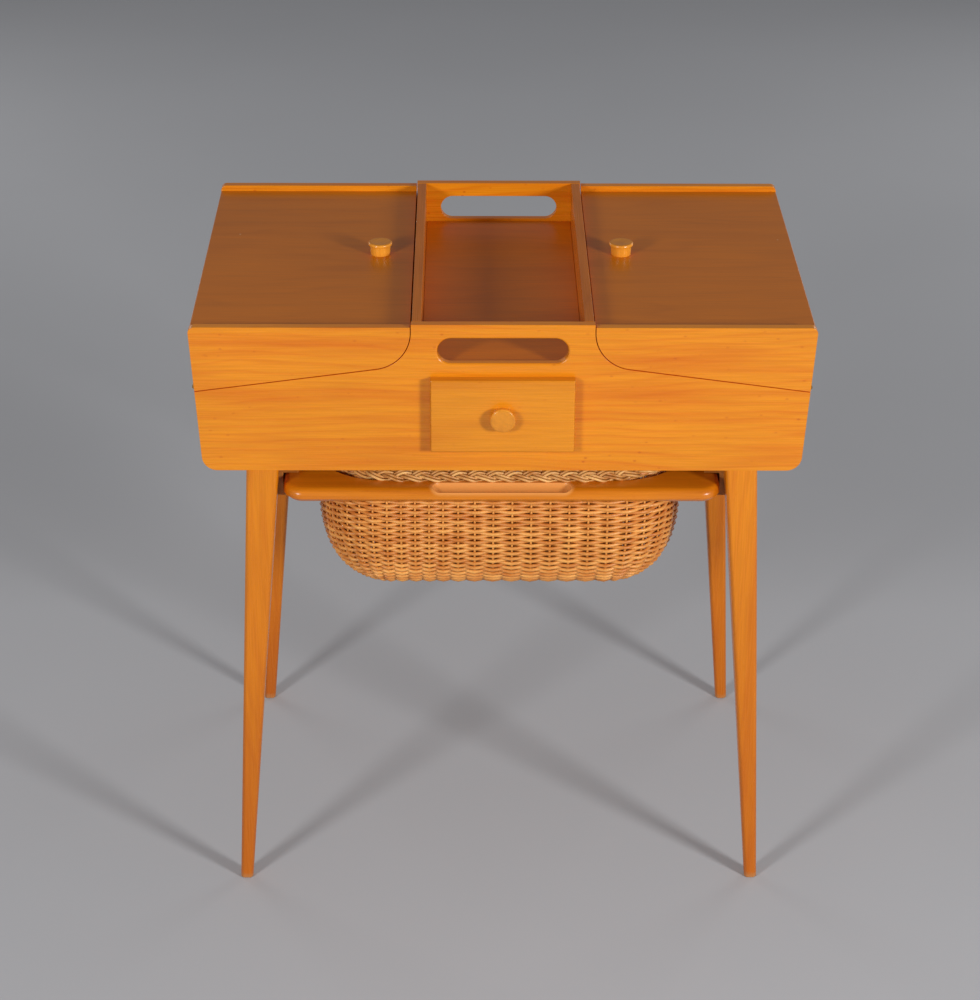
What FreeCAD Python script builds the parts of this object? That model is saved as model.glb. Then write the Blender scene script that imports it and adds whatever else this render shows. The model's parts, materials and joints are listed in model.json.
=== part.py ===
import FreeCAD, Part
import math
import os
import Sketcher

# A sewing table of lacquered cherry: a case with two lids that fold out sideways, a carrying tray
# between them, a small drawer, and a pull-out frame that holds a wicker basket between splayed legs.
# X runs to the right, Y to the back and Z up. The floor is Z = 0.

DIMENSIONS = {
    # case
    "case_width": 600.0,        # across the two lids, at their top
    "base_width": 582.0,        # across the case at its underside, so the ends lean
    "case_depth": 396.0,        # outer face of the front to outer face of the back
    "underside": 487.0,         # height of the case's underside
    "lid_top": 638.0,           # height of the lids' cheeks
    "centre_top": 641.0,        # height of the middle part
    "board": 9.0,               # thickness of the panels
    "foot_round": 15.0,         # radius of the case's lower corners
    "bottom_board": 8.0,
    "foot_block": 8.0,          # how much thicker an end is at its lower edge
    # cut between lids and case
    "kerf": 0.8,
    "cut_inner": 88.2,          # upright part of the cut, from the middle
    "cut_high": 599.2,          # where the upright and the sloping part would meet
    "cut_low": 571.2,           # height of the cut at the outer ends
    "cut_round": 38.0,          # radius between the two parts
    # middle part
    "partition_outer": 87.0,    # outer face of a partition, from the middle
    "tray_top": 598.0,          # floor of the carrying tray
    "tray_board": 6.0,
    "slot_length": 125.0,
    "slot_height": 25.6,
    "slot_level": 613.6,
    "slot_bevel": 1.5,
    # lids
    "lid_panel_top": 632.0,
    "lid_board": 6.0,
    "lid_corner": 6.0,
    "lid_edge_round": 1.2,
    "lid_knob_x": 122.5,
    "lid_knob_y": 7.0,          # behind the middle of the case
    # hinges
    "hinge_x": 297.2,
    "hinge_level": 571.5,
    "hinge_length": 377.0,
    "knuckle_radius": 2.5,
    "knuckle_bore": 1.05,
    "pin_radius": 1.0,
    "knuckle_count": 5,
    "knuckle_gap": 0.4,
    "leaf_thickness": 0.8,
    "leaf_gap": 0.3,            # between the two closed leaves
    "leaf_inner": 287.6,        # the leaf's free edge, from the middle
    "leaf_clear": 0.3,          # between a leaf and the other leaf's knuckles
    "leaf_lap": 1.1,            # how far a leaf runs on into its own knuckles
    "hinge_notch": 3.2,         # chamfer that the barrel lies in
    # drawer
    "drawer_face_width": 139.0,
    "drawer_face_low": 511.7,
    "drawer_face_high": 587.5,
    "drawer_face_board": 10.5,
    "drawer_face_bevel": 1.0,
    "drawer_gap": 0.2,          # behind the face
    "drawer_hole_width": 124.0,
    "drawer_hole_low": 519.5,
    "drawer_hole_high": 579.5,
    "drawer_box_width": 122.0,
    "drawer_box_low": 520.3,
    "drawer_box_high": 577.5,
    "drawer_box_length": 308.0,
    "drawer_board": 8.0,
    "drawer_floor": 4.0,
    "drawer_floor_low": 522.3,
    "runner_length": 340.0,
    "runner_ledge_low": 511.0,
    "runner_ledge_top": 520.0,
    "runner_guide_top": 544.0,
    "runner_ledge_inner": 52.0,
    "runner_guide_inner": 61.8,
    # knobs
    "knob_cap_radius": 12.1,
    "knob_cap_height": 3.2,
    "knob_neck_radius": 10.1,
    "knob_bevel": 0.5,
    "lid_knob_height": 13.2,
    "drawer_knob_height": 10.5,
    # legs
    "leg_top_inner": 218.1,
    "leg_top_width": 31.4,
    "leg_top_front": 196.0,
    "leg_top_depth": 34.0,
    "leg_foot_inner": 260.7,
    "leg_foot_width": 12.8,
    "leg_foot_front": 189.0,
    "leg_foot_depth": 12.5,
    "leg_bevel": 2.6,
    # rails under the case, which join the legs and guide the frame
    "rail_inner": 201.0,
    "rail_width": 31.0,
    "rail_height": 45.0,
    "rail_half_length": 162.0,
    "groove_depth": 15.2,
    "groove_gap": 0.4,          # above and below the frame
    # pull-out frame
    "frame_top": 466.0,
    "frame_thickness": 14.0,
    "frame_half_width": 215.0,
    "frame_front": 196.0,
    "frame_back": 184.0,
    "frame_corner": 20.0,
    "frame_nose": 6.8,          # rounded upper edge of the frame
    "frame_bevel": 4.4,         # bevelled lower edge
    "opening_half_width": 182.0,
    "opening_front": 177.0,
    "opening_back": 165.0,
    "opening_round": 64.0,
    "frame_joint": 101.0,       # the side boards end this far from the middle of the basket
    "finger_half_length": 68.8,  # the scoop for the fingers in the front edge
    "finger_radius": 8.0,
    "finger_y": 189.2,
    "finger_level": 468.6,
    # basket
    "basket_mid": -6.0,         # the basket's middle, from the middle of the case
    "basket_half_width": 180.0,
    "basket_half_depth": 168.5,
    "basket_wall": 5.0,
    "basket_round": 72.0,
    "rim_half_width": 186.0,
    "rim_half_depth": 174.0,
    "rim_round": 70.0,
    "rim_width": 14.0,
    "rim_height": 12.0,
}

# Sections of the basket, from its top down: depth below the frame's top, and how far the section
# lies inside the widest one. The walls fall upright, then turn under to a flat floor.
BASKET_SECTIONS = (
    (0.0, 0.0),
    (58.0, 0.0),
    (100.0, 11.2),
    (130.0, 34.2),
    (147.3, 65.0),
)

doc = FreeCAD.newDocument("SewingTable")
sheet = doc.addObject("Spreadsheet::Sheet", "Sheet")
parts = []


class Size:
    """A length that knows its number and the formula on the sheet that gives it."""

    def __init__(self, number, formula):
        self.number = float(number)
        self.formula = formula

    def join(self, other, sign, number, turned=False):
        left, right = (other, self) if turned else (self, other)
        return Size(number, "(%s %s %s)" % (size(left).formula, sign, size(right).formula))

    def __add__(self, other):
        return self.join(other, "+", self.number + size(other).number)

    def __radd__(self, other):
        return self.join(other, "+", self.number + size(other).number, True)

    def __sub__(self, other):
        return self.join(other, "-", self.number - size(other).number)

    def __rsub__(self, other):
        return self.join(other, "-", size(other).number - self.number, True)

    def __mul__(self, other):
        return self.join(other, "*", self.number * size(other).number)

    def __rmul__(self, other):
        return self.join(other, "*", self.number * size(other).number, True)

    def __truediv__(self, other):
        return self.join(other, "/", self.number / size(other).number)

    def __neg__(self):
        return 0 - self


def size(value):
    """A plain number as a Size."""
    if isinstance(value, Size):
        return value
    return Size(value, "%.6g" % value if value >= 0 else "(0 - %.6g)" % -value)


def cell(name):
    """The Size of one cell of the sheet."""
    return Size(DIMENSIONS[name], "Sheet." + name)


def fill_sheet():
    for row, name in enumerate(DIMENSIONS, start=1):
        sheet.set("A%d" % row, "%g" % DIMENSIONS[name])
        sheet.setAlias("A%d" % row, name)
    doc.recompute()


fill_sheet()

# Sizes that several pieces share
half_top = cell("case_width") / 2
half_base = cell("base_width") / 2
half_depth = cell("case_depth") / 2
board = cell("board")
inner_depth = cell("case_depth") - 2 * board
kerf_half = cell("kerf") / 2
lean = (half_top - half_base) / (cell("lid_top") - cell("underside"))
# The drawer's face and knob stand out at the front, so the case lies this far behind the middle.
case_mid = (cell("drawer_gap") + cell("drawer_face_board") + cell("drawer_knob_height")) / 2


def half_width_at(level):
    """Half the case's outer width at a height: its ends lean outwards."""
    return half_top - lean * (cell("lid_top") - level)


def bind(thing, path, value):
    """Set a property from the sheet."""
    thing.setExpression(path, size(value).formula)


def keep(thing, name):
    """Note a finished sub-part under the name of its file."""
    thing.Label = name
    parts.append(thing)
    return thing


def new_body(name, x=0, y=0, z=0, turn=None):
    """An empty body whose middle plane is the case's."""
    body = doc.addObject("PartDesign::Body", name)
    if turn is not None:
        body.Placement = FreeCAD.Placement(FreeCAD.Vector(0, 0, 0), turn)
    bind(body, "Placement.Base.x", x)
    bind(body, "Placement.Base.y", case_mid + y)
    bind(body, "Placement.Base.z", z)
    return keep(body, name)


def new_sketch(body, plane, offset=None):
    """A sketch on one of the body's own planes, moved along the plane's normal."""
    sketch = body.newObject("Sketcher::SketchObject", body.Name + "_sketch")
    origin_plane = [f for f in body.Origin.OriginFeatures if f.Role == plane][0]
    sketch.AttachmentSupport = (origin_plane, [""])
    sketch.MapMode = "FlatFace"
    if offset is not None:
        bind(sketch, "AttachmentOffset.Base.z", offset)
    return sketch


def constrain(sketch, kind, geometry, point, value):
    """Tie a point of the sketch to its origin along X or Y."""
    number = size(value).number
    if abs(number) < 1e-9:
        axis = -2 if kind == "DistanceX" else -1
        sketch.addConstraint(Sketcher.Constraint("PointOnObject", geometry, point, axis))
        return
    index = sketch.addConstraint(Sketcher.Constraint(kind, -1, 1, geometry, point, number))
    bind(sketch, "Constraints[%d]" % index, value)


def vector(x, y):
    return FreeCAD.Vector(size(x).number, size(y).number, 0)


def outline(sketch, corners):
    """A closed outline of straight edges, each corner tied to the sheet."""
    first = sketch.GeometryCount
    count = len(corners)
    for i in range(count):
        start = corners[i]
        end = corners[(i + 1) % count]
        sketch.addGeometry(Part.LineSegment(vector(*start), vector(*end)), False)
    for i in range(count):
        sketch.addConstraint(Sketcher.Constraint("Coincident", first + i, 2, first + (i + 1) % count, 1))
    for i in range(count):
        constrain(sketch, "DistanceX", first + i, 1, corners[i][0])
        constrain(sketch, "DistanceY", first + i, 1, corners[i][1])


def rectangle(sketch, x_low, x_high, y_low, y_high):
    outline(sketch, [(x_low, y_low), (x_high, y_low), (x_high, y_high), (x_low, y_high)])


def circle(sketch, x, y, radius):
    place = sketch.addGeometry(Part.Circle(vector(x, y), FreeCAD.Vector(0, 0, 1), size(radius).number), False)
    constrain(sketch, "DistanceX", place, 3, x)
    constrain(sketch, "DistanceY", place, 3, y)
    index = sketch.addConstraint(Sketcher.Constraint("Radius", place, size(radius).number))
    bind(sketch, "Constraints[%d]" % index, radius)


def rounded_outline(sketch, half_x, half_y, radius, mid_x=0, mid_y=0):
    """A rectangle with round corners. A radius of half its height makes a slot with round ends."""
    half_x, half_y, radius, mid_x, mid_y = map(size, (half_x, half_y, radius, mid_x, mid_y))
    straight_x = half_x - radius
    straight_y = half_y - radius
    slot = straight_y.number < 1e-9
    quarter = math.pi / 2
    signs = ((1, 1), (-1, 1), (-1, -1), (1, -1))
    arcs = []
    for turn, (sign_x, sign_y) in enumerate(signs):
        centre = vector(mid_x + sign_x * straight_x, mid_y + sign_y * straight_y)
        if slot and turn in (1, 3):
            continue
        start = (turn - (1 if slot else 0)) * quarter
        end = (turn + 1) * quarter
        round_edge = Part.Circle(centre, FreeCAD.Vector(0, 0, 1), radius.number)
        arcs.append(sketch.addGeometry(Part.ArcOfCircle(round_edge, start, end), False))
    lines = []
    count = len(arcs)
    for i in range(count):
        this_arc = sketch.Geometry[arcs[i]]
        next_arc = sketch.Geometry[arcs[(i + 1) % count]]
        edge = Part.LineSegment(this_arc.EndPoint, next_arc.StartPoint)
        lines.append(sketch.addGeometry(edge, False))
    for i in range(count):
        sketch.addConstraint(Sketcher.Constraint("Tangent", arcs[i], 2, lines[i], 1))
        sketch.addConstraint(Sketcher.Constraint("Tangent", lines[i], 2, arcs[(i + 1) % count], 1))
    for arc in arcs[1:]:
        sketch.addConstraint(Sketcher.Constraint("Equal", arcs[0], arc))
    index = sketch.addConstraint(Sketcher.Constraint("Radius", arcs[0], radius.number))
    bind(sketch, "Constraints[%d]" % index, radius)
    constrain(sketch, "DistanceX", arcs[0], 3, mid_x + straight_x)
    constrain(sketch, "DistanceY", arcs[0], 3, mid_y + straight_y)
    far = arcs[1] if slot else arcs[2]
    constrain(sketch, "DistanceX", far, 3, mid_x - straight_x)
    if not slot:
        constrain(sketch, "DistanceY", far, 3, mid_y - straight_y)
    sketch.addConstraint(Sketcher.Constraint("Horizontal", lines[0]))


def pad(body, sketch, length, reverse=False, both=False):
    feature = body.newObject("PartDesign::Pad", body.Name + "_pad")
    feature.Profile = sketch
    feature.Reversed = reverse
    if both:
        feature.Midplane = True
    bind(feature, "Length", length)
    sketch.Visibility = False
    doc.recompute()
    return feature


def pocket(body, sketch, length, reverse=False, both=False):
    """Cut the sketch out of the body, and stop if nothing was cut."""
    before = body.Shape.Volume
    feature = body.newObject("PartDesign::Pocket", body.Name + "_pocket")
    feature.Profile = sketch
    feature.Reversed = reverse
    if both:
        feature.Midplane = True
    bind(feature, "Length", length)
    doc.recompute()
    if body.Shape.Volume > before - 1e-3:
        raise RuntimeError(body.Name + ": the pocket cut nothing")
    return feature


def edges_where(shape, test):
    """Names of the edges whose every point passes the test."""
    names = []
    for number, edge in enumerate(shape.Edges, start=1):
        first, last = edge.ParameterRange
        points = [edge.valueAt(first + (last - first) * step / 4) for step in range(5)]
        if all(test(point) for point in points):
            names.append("Edge%d" % number)
    return names


def dress_edges(body, kind, amount, names):
    base = body.Tip
    feature = body.newObject("PartDesign::" + kind, body.Name + "_" + kind.lower())
    feature.Base = (base, names)
    bind(feature, "Radius" if kind == "Fillet" else "Size", amount)
    doc.recompute()


def dress(body, kind, amount, test):
    """Round or bevel the edges that pass the test."""
    names = edges_where(body.Tip.Shape, test)
    if not names:
        raise RuntimeError(body.Name + ": no edge to " + kind)
    dress_edges(body, kind, amount, names)


def near(value, target, within=0.05):
    return abs(value - size(target).number) < within


def along_y_at(x, z):
    """Test for an edge that runs front to back at one place."""
    return lambda p: near(p.x, x) and near(p.z, z)


def plain_board(name, x, y, z):
    """A board cut square, given by its low and high faces along each axis."""
    box = doc.addObject("Part::Box", name)
    for axis, length, (low, high) in (("x", "Length", x), ("y", "Width", y), ("z", "Height", z)):
        bind(box, length, size(high) - low)
        bind(box, "Placement.Base." + axis, size(low) + (case_mid if axis == "y" else 0))
    return keep(box, name)


def handle_slot(body, front):
    """The grip slot, eased on its outer face."""
    sketch = new_sketch(body, "XZ_Plane")
    rounded_outline(sketch, cell("slot_length") / 2, cell("slot_height") / 2, cell("slot_height") / 2,
                    0, cell("slot_level"))
    pocket(body, sketch, 2 * cell("case_depth"), reverse=front)
    half_length = cell("slot_length").number / 2 + 0.1
    low = cell("slot_level").number - cell("slot_height").number / 2 - 0.1
    high = low + cell("slot_height").number + 0.2
    dress(body, "Chamfer", cell("slot_bevel"), lambda p: abs(p.x) < half_length and low < p.z < high
          and near(abs(p.y), half_depth))


def case_panel(name, front):
    """Front or back of the case: a tall middle between the two cuts, and low wings beside it."""
    body = new_body(name)
    sketch = new_sketch(body, "XZ_Plane", half_depth if front else board - half_depth)
    inner = cell("cut_inner") - kerf_half
    high = cell("cut_high") - kerf_half
    low = cell("cut_low") - kerf_half
    outer = half_width_at(low)
    base = cell("underside")
    top = cell("centre_top")
    outline(sketch, [(-half_base, base), (half_base, base), (outer, low), (inner, high), (inner, top),
                     (-inner, top), (-inner, high), (-outer, low)])
    pad(body, sketch, board, reverse=True)
    dress(body, "Fillet", cell("cut_round") + kerf_half,
          lambda p: near(abs(p.x), inner) and near(p.z, high))
    dress(body, "Fillet", cell("foot_round"), lambda p: near(abs(p.x), half_base) and near(p.z, base))
    handle_slot(body, front)
    if front:
        opening = new_sketch(body, "XZ_Plane")
        half = cell("drawer_hole_width") / 2
        rectangle(opening, -half, half, cell("drawer_hole_low"), cell("drawer_hole_high"))
        pocket(body, opening, cell("case_depth"), reverse=True)


def end_panel(name, side):
    """Lower end of the case. Its outer face leans, its lower edge is thick and rounded."""
    body = new_body(name)
    sketch = new_sketch(body, "XZ_Plane")
    low = cell("underside")
    floor = low + cell("bottom_board")
    top = cell("hinge_level") - cell("leaf_gap") / 2 - cell("leaf_thickness")
    foot = half_base - board - cell("foot_block")
    corners = [(half_width_at(top), top), (half_base, low), (foot, low), (foot, floor),
               (half_width_at(floor) - board, floor), (half_width_at(top) - board, top)]
    outline(sketch, [(side * x, z) for x, z in corners])
    pad(body, sketch, inner_depth, both=True)
    dress(body, "Fillet", cell("foot_round"), along_y_at(side * half_base, low))
    dress(body, "Chamfer", cell("hinge_notch"), along_y_at(side * half_width_at(top), top))


def case_pieces():
    case_panel("front_panel", True)
    case_panel("back_panel", False)
    end_panel("left_end_panel", -1)
    end_panel("right_end_panel", 1)
    inner = inner_depth / 2
    foot = half_base - board - cell("foot_block")
    outer = cell("partition_outer")
    floor = cell("underside") + cell("bottom_board")
    plain_board("bottom_panel", (-foot, foot), (-inner, inner), (cell("underside"), floor))
    plain_board("left_partition", (-outer, board - outer), (-inner, inner), (floor, cell("centre_top")))
    plain_board("right_partition", (outer - board, outer), (-inner, inner), (floor, cell("centre_top")))
    plain_board("tray_floor", (board - outer, outer - board), (-inner, inner),
                (cell("tray_top") - cell("tray_board"), cell("tray_top")))
    drawer_runner("left_drawer_runner", -1)
    drawer_runner("right_drawer_runner", 1)


def drawer_runner(name, side):
    """A ledge under the drawer's side with a guide beside it, glued to the partition."""
    body = new_body(name)
    sketch = new_sketch(body, "XZ_Plane", inner_depth / 2)
    wall = cell("partition_outer") - board
    guide = cell("runner_guide_inner")
    corners = [(wall, cell("runner_ledge_low")), (wall, cell("runner_guide_top")),
               (guide, cell("runner_guide_top")), (guide, cell("runner_ledge_top")),
               (cell("runner_ledge_inner"), cell("runner_ledge_top")),
               (cell("runner_ledge_inner"), cell("runner_ledge_low"))]
    outline(sketch, [(side * x, z) for x, z in corners])
    pad(body, sketch, cell("runner_length"), reverse=True)


def lid_cheek(name, side, front):
    """Front or back of a lid, with the curved lower edge that meets the case."""
    body = new_body(name)
    sketch = new_sketch(body, "XZ_Plane", half_depth if front else board - half_depth)
    inner = cell("cut_inner") + kerf_half
    high = cell("cut_high") + kerf_half
    low = cell("cut_low") + kerf_half
    top = cell("lid_top")
    corners = [(inner, top), (inner, high), (half_width_at(low), low), (half_top, top)]
    outline(sketch, [(side * x, z) for x, z in corners])
    pad(body, sketch, board, reverse=True)
    dress(body, "Fillet", cell("cut_round") - kerf_half, along_y_at(side * inner, high))
    dress(body, "Fillet", cell("lid_corner"), along_y_at(side * half_top, top))


def lid_panel(name, side):
    """Top of a lid, set a little below the cheeks."""
    body = new_body(name)
    sketch = new_sketch(body, "XZ_Plane")
    inner = cell("cut_inner") + kerf_half
    top = cell("lid_panel_top")
    low = top - cell("lid_board")
    corners = [(inner, low), (half_width_at(low), low), (half_width_at(top), top), (inner, top)]
    outline(sketch, [(side * x, z) for x, z in corners])
    pad(body, sketch, inner_depth, both=True)
    dress(body, "Fillet", cell("lid_edge_round"), along_y_at(side * half_width_at(top), top))


def lid_end(name, side):
    """Outer end of a lid, standing on the hinge."""
    body = new_body(name)
    sketch = new_sketch(body, "XZ_Plane")
    low = cell("hinge_level") + cell("leaf_gap") / 2 + cell("leaf_thickness")
    top = cell("lid_panel_top") - cell("lid_board")
    corners = [(half_width_at(low) - board, low), (half_width_at(low), low), (half_width_at(top), top),
               (half_width_at(top) - board, top)]
    outline(sketch, [(side * x, z) for x, z in corners])
    pad(body, sketch, inner_depth, both=True)
    dress(body, "Chamfer", cell("hinge_notch"), along_y_at(side * half_width_at(low), low))


def knob(name, height, x, y, z, turn=None):
    """A turned knob: a plain neck under a wider cap with bevelled edges, screwed on from behind."""
    body = new_body(name, x, y, z, turn)
    sketch = new_sketch(body, "XZ_Plane")
    height = size(height)
    neck = cell("knob_neck_radius")
    neck_top = height - cell("knob_cap_height")
    cap = cell("knob_cap_radius")
    bevel = cell("knob_bevel")
    outline(sketch, [(0, 0), (neck, 0), (neck, neck_top), (cap, neck_top), (cap, height - bevel),
                     (cap - bevel, height), (0, height)])
    turned = body.newObject("PartDesign::Revolution", name + "_turned")
    turned.Profile = sketch
    turned.ReferenceAxis = (sketch, ["V_Axis"])
    turned.Angle = 360.0
    doc.recompute()


def knuckle_pitch():
    return cell("hinge_length") / cell("knuckle_count")


def hinge_leaf(name, side, upper):
    """One leaf of a piano hinge, with every other knuckle of the barrel."""
    body = new_body(name)
    sign = 1 if upper else -1
    axis_x = side * cell("hinge_x")
    level = cell("hinge_level")
    near_face = level + sign * cell("leaf_gap") / 2
    far_face = near_face + sign * cell("leaf_thickness")
    strip_end = cell("hinge_x") - cell("knuckle_radius") - cell("leaf_clear")
    tab_end = strip_end + cell("leaf_lap")
    half_length = cell("hinge_length") / 2
    strip = new_sketch(body, "XZ_Plane")
    rectangle(strip, side * cell("leaf_inner"), side * strip_end, near_face, far_face)
    pad(body, strip, cell("hinge_length"), both=True)
    first = half_length - (knuckle_pitch() if upper else 0) - cell("knuckle_gap") / 2
    tab = new_sketch(body, "XZ_Plane", first)
    rectangle(tab, side * strip_end, side * tab_end, near_face, far_face)
    lug = pad(body, tab, knuckle_pitch() - cell("knuckle_gap"), reverse=True)
    ring = new_sketch(body, "XZ_Plane", first)
    circle(ring, axis_x, level, cell("knuckle_radius"))
    circle(ring, axis_x, level, cell("knuckle_bore"))
    barrel = pad(body, ring, knuckle_pitch() - cell("knuckle_gap"), reverse=True)
    count = int(DIMENSIONS["knuckle_count"]) // 2 + (0 if upper else 1)
    row = body.newObject("PartDesign::LinearPattern", name + "_row")
    row.Originals = [lug, barrel]
    row.Direction = (ring, ["N_Axis"])
    row.Reversed = True
    row.Occurrences = count
    bind(row, "Length", knuckle_pitch() * (2 * (count - 1)))
    body.Tip = row
    doc.recompute()


def rod(name, radius, x, y_low, z, length):
    """A round rod along Y."""
    pin = doc.addObject("Part::Cylinder", name)
    bind(pin, "Radius", radius)
    bind(pin, "Height", length)
    pin.Placement = FreeCAD.Placement(FreeCAD.Vector(0, 0, 0), FreeCAD.Rotation(FreeCAD.Vector(1, 0, 0), -90))
    bind(pin, "Placement.Base.x", x)
    bind(pin, "Placement.Base.y", case_mid + y_low)
    bind(pin, "Placement.Base.z", z)
    return keep(pin, name)


def lids_and_hinges():
    for word, side in (("left", -1), ("right", 1)):
        lid_cheek(word + "_lid_front_cheek", side, True)
        lid_cheek(word + "_lid_back_cheek", side, False)
        lid_panel(word + "_lid_panel", side)
        lid_end(word + "_lid_end_panel", side)
        knob(word + "_lid_knob", cell("lid_knob_height"), side * cell("lid_knob_x"), cell("lid_knob_y"),
             cell("lid_panel_top"))
        hinge_leaf(word + "_hinge_case_leaf", side, False)
        hinge_leaf(word + "_hinge_lid_leaf", side, True)
        rod(word + "_hinge_pin", cell("pin_radius"), side * cell("hinge_x"), -cell("hinge_length") / 2,
            cell("hinge_level"), cell("hinge_length"))


def drawer_pieces():
    """The drawer: a box of thin boards behind a thick face that overlaps the opening."""
    back_of_face = -half_depth - cell("drawer_gap")
    face()
    outer = cell("drawer_box_width") / 2
    wall = cell("drawer_board")
    low = cell("drawer_box_low")
    high = cell("drawer_box_high")
    end = back_of_face + cell("drawer_box_length")
    plain_board("drawer_left_side", (-outer, wall - outer), (back_of_face, end), (low, high))
    plain_board("drawer_right_side", (outer - wall, outer), (back_of_face, end), (low, high))
    plain_board("drawer_back", (wall - outer, outer - wall), (end - wall, end), (low, high))
    floor = cell("drawer_floor_low")
    plain_board("drawer_bottom", (wall - outer, outer - wall), (back_of_face, end - wall),
                (floor, floor + cell("drawer_floor")))
    middle = (cell("drawer_face_low") + cell("drawer_face_high")) / 2
    knob("drawer_knob", cell("drawer_knob_height"), 0, back_of_face - cell("drawer_face_board"), middle,
         FreeCAD.Rotation(FreeCAD.Vector(1, 0, 0), 90))


def face():
    """The drawer's face, with softened edges."""
    body = new_body("drawer_front")
    back_of_face = half_depth + cell("drawer_gap")
    front = back_of_face + cell("drawer_face_board")
    sketch = new_sketch(body, "XZ_Plane", back_of_face)
    half = cell("drawer_face_width") / 2
    low = cell("drawer_face_low")
    high = cell("drawer_face_high")
    rectangle(sketch, -half, half, low, high)
    pad(body, sketch, cell("drawer_face_board"))
    dress(body, "Chamfer", cell("drawer_face_bevel"), lambda p: near(p.y, -front))


def leg(name, side, end):
    """A leg cut from a plank, splayed and tapered in front view, then tapered from the side."""
    body = new_body(name)
    top = cell("underside")
    front = new_sketch(body, "XZ_Plane", -end * cell("leg_top_front"))
    foot_inner = cell("leg_foot_inner")
    top_inner = cell("leg_top_inner")
    corners = [(foot_inner, 0), (foot_inner + cell("leg_foot_width"), 0),
               (top_inner + cell("leg_top_width"), top), (top_inner, top)]
    outline(front, [(side * x, z) for x, z in corners])
    pad(body, front, cell("leg_top_depth"), reverse=end < 0)
    for outer in (True, False):
        waste = new_sketch(body, "YZ_Plane")
        at_foot = cell("leg_foot_front") - (0 if outer else cell("leg_foot_depth"))
        at_top = cell("leg_top_front") - (0 if outer else cell("leg_top_depth"))
        outline(waste, [(end * at_top, top), (end * at_foot, 0), (end * at_top, 0)])
        pocket(body, waste, 2 * cell("case_width"), both=True)
    tall = top.number / 2
    names = ["Edge%d" % number for number, edge in enumerate(body.Tip.Shape.Edges, start=1)
             if abs(edge.Vertexes[0].Z - edge.Vertexes[-1].Z) > tall]
    dress_edges(body, "Chamfer", cell("leg_bevel"), names)


def rail(name, side):
    """A rail between two legs, screwed under the case, with the groove that the frame slides in."""
    body = new_body(name)
    sketch = new_sketch(body, "XZ_Plane")
    inner = cell("rail_inner")
    outer = inner + cell("rail_width")
    top = cell("underside")
    low = top - cell("rail_height")
    groove_top = cell("frame_top") + cell("groove_gap")
    groove_low = cell("frame_top") - cell("frame_thickness") - cell("groove_gap")
    deep = inner + cell("groove_depth")
    corners = [(inner, low), (outer, low), (outer, top), (inner, top), (inner, groove_top),
               (deep, groove_top), (deep, groove_low), (inner, groove_low)]
    outline(sketch, [(side * x, z) for x, z in corners])
    pad(body, sketch, 2 * cell("rail_half_length"), both=True)


def under_case():
    for word, side in (("left", -1), ("right", 1)):
        leg("front_%s_leg" % word, side, -1)
        leg("back_%s_leg" % word, side, 1)
        rail(word + "_rail", side)


def frame_end(name, end, reach, opening, nose):
    """Front or back board of the frame, with two corners of the opening and eased outer edges."""
    body = new_body(name)
    top = cell("frame_top")
    low = top - cell("frame_thickness")
    half = cell("frame_half_width")
    hole = cell("opening_half_width")
    joint = cell("frame_joint") + end * cell("basket_mid")
    sketch = new_sketch(body, "XY_Plane", low)
    corners = [(-half, joint), (-hole, joint), (-hole, opening), (hole, opening), (hole, joint),
               (half, joint), (half, reach), (-half, reach)]
    outline(sketch, [(x, end * size(y)) for x, y in corners])
    pad(body, sketch, cell("frame_thickness"))
    dress(body, "Fillet", cell("opening_round"), lambda p: near(abs(p.x), hole) and near(abs(p.y), opening))
    dress(body, "Fillet", cell("frame_corner"), lambda p: near(abs(p.x), half) and near(abs(p.y), reach))

    def outside(p):
        """True on the board's outer edge, and not at the opening or at the joints."""
        return (abs(p.x) > hole.number + 1 or abs(p.y) > opening.number + 1) and not near(abs(p.y), joint)

    dress(body, nose, cell("frame_nose") if nose == "Fillet" else cell("frame_bevel"),
          lambda p: near(p.z, top) and outside(p))
    dress(body, "Chamfer", cell("frame_bevel"), lambda p: near(p.z, low) and outside(p))
    return body


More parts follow.
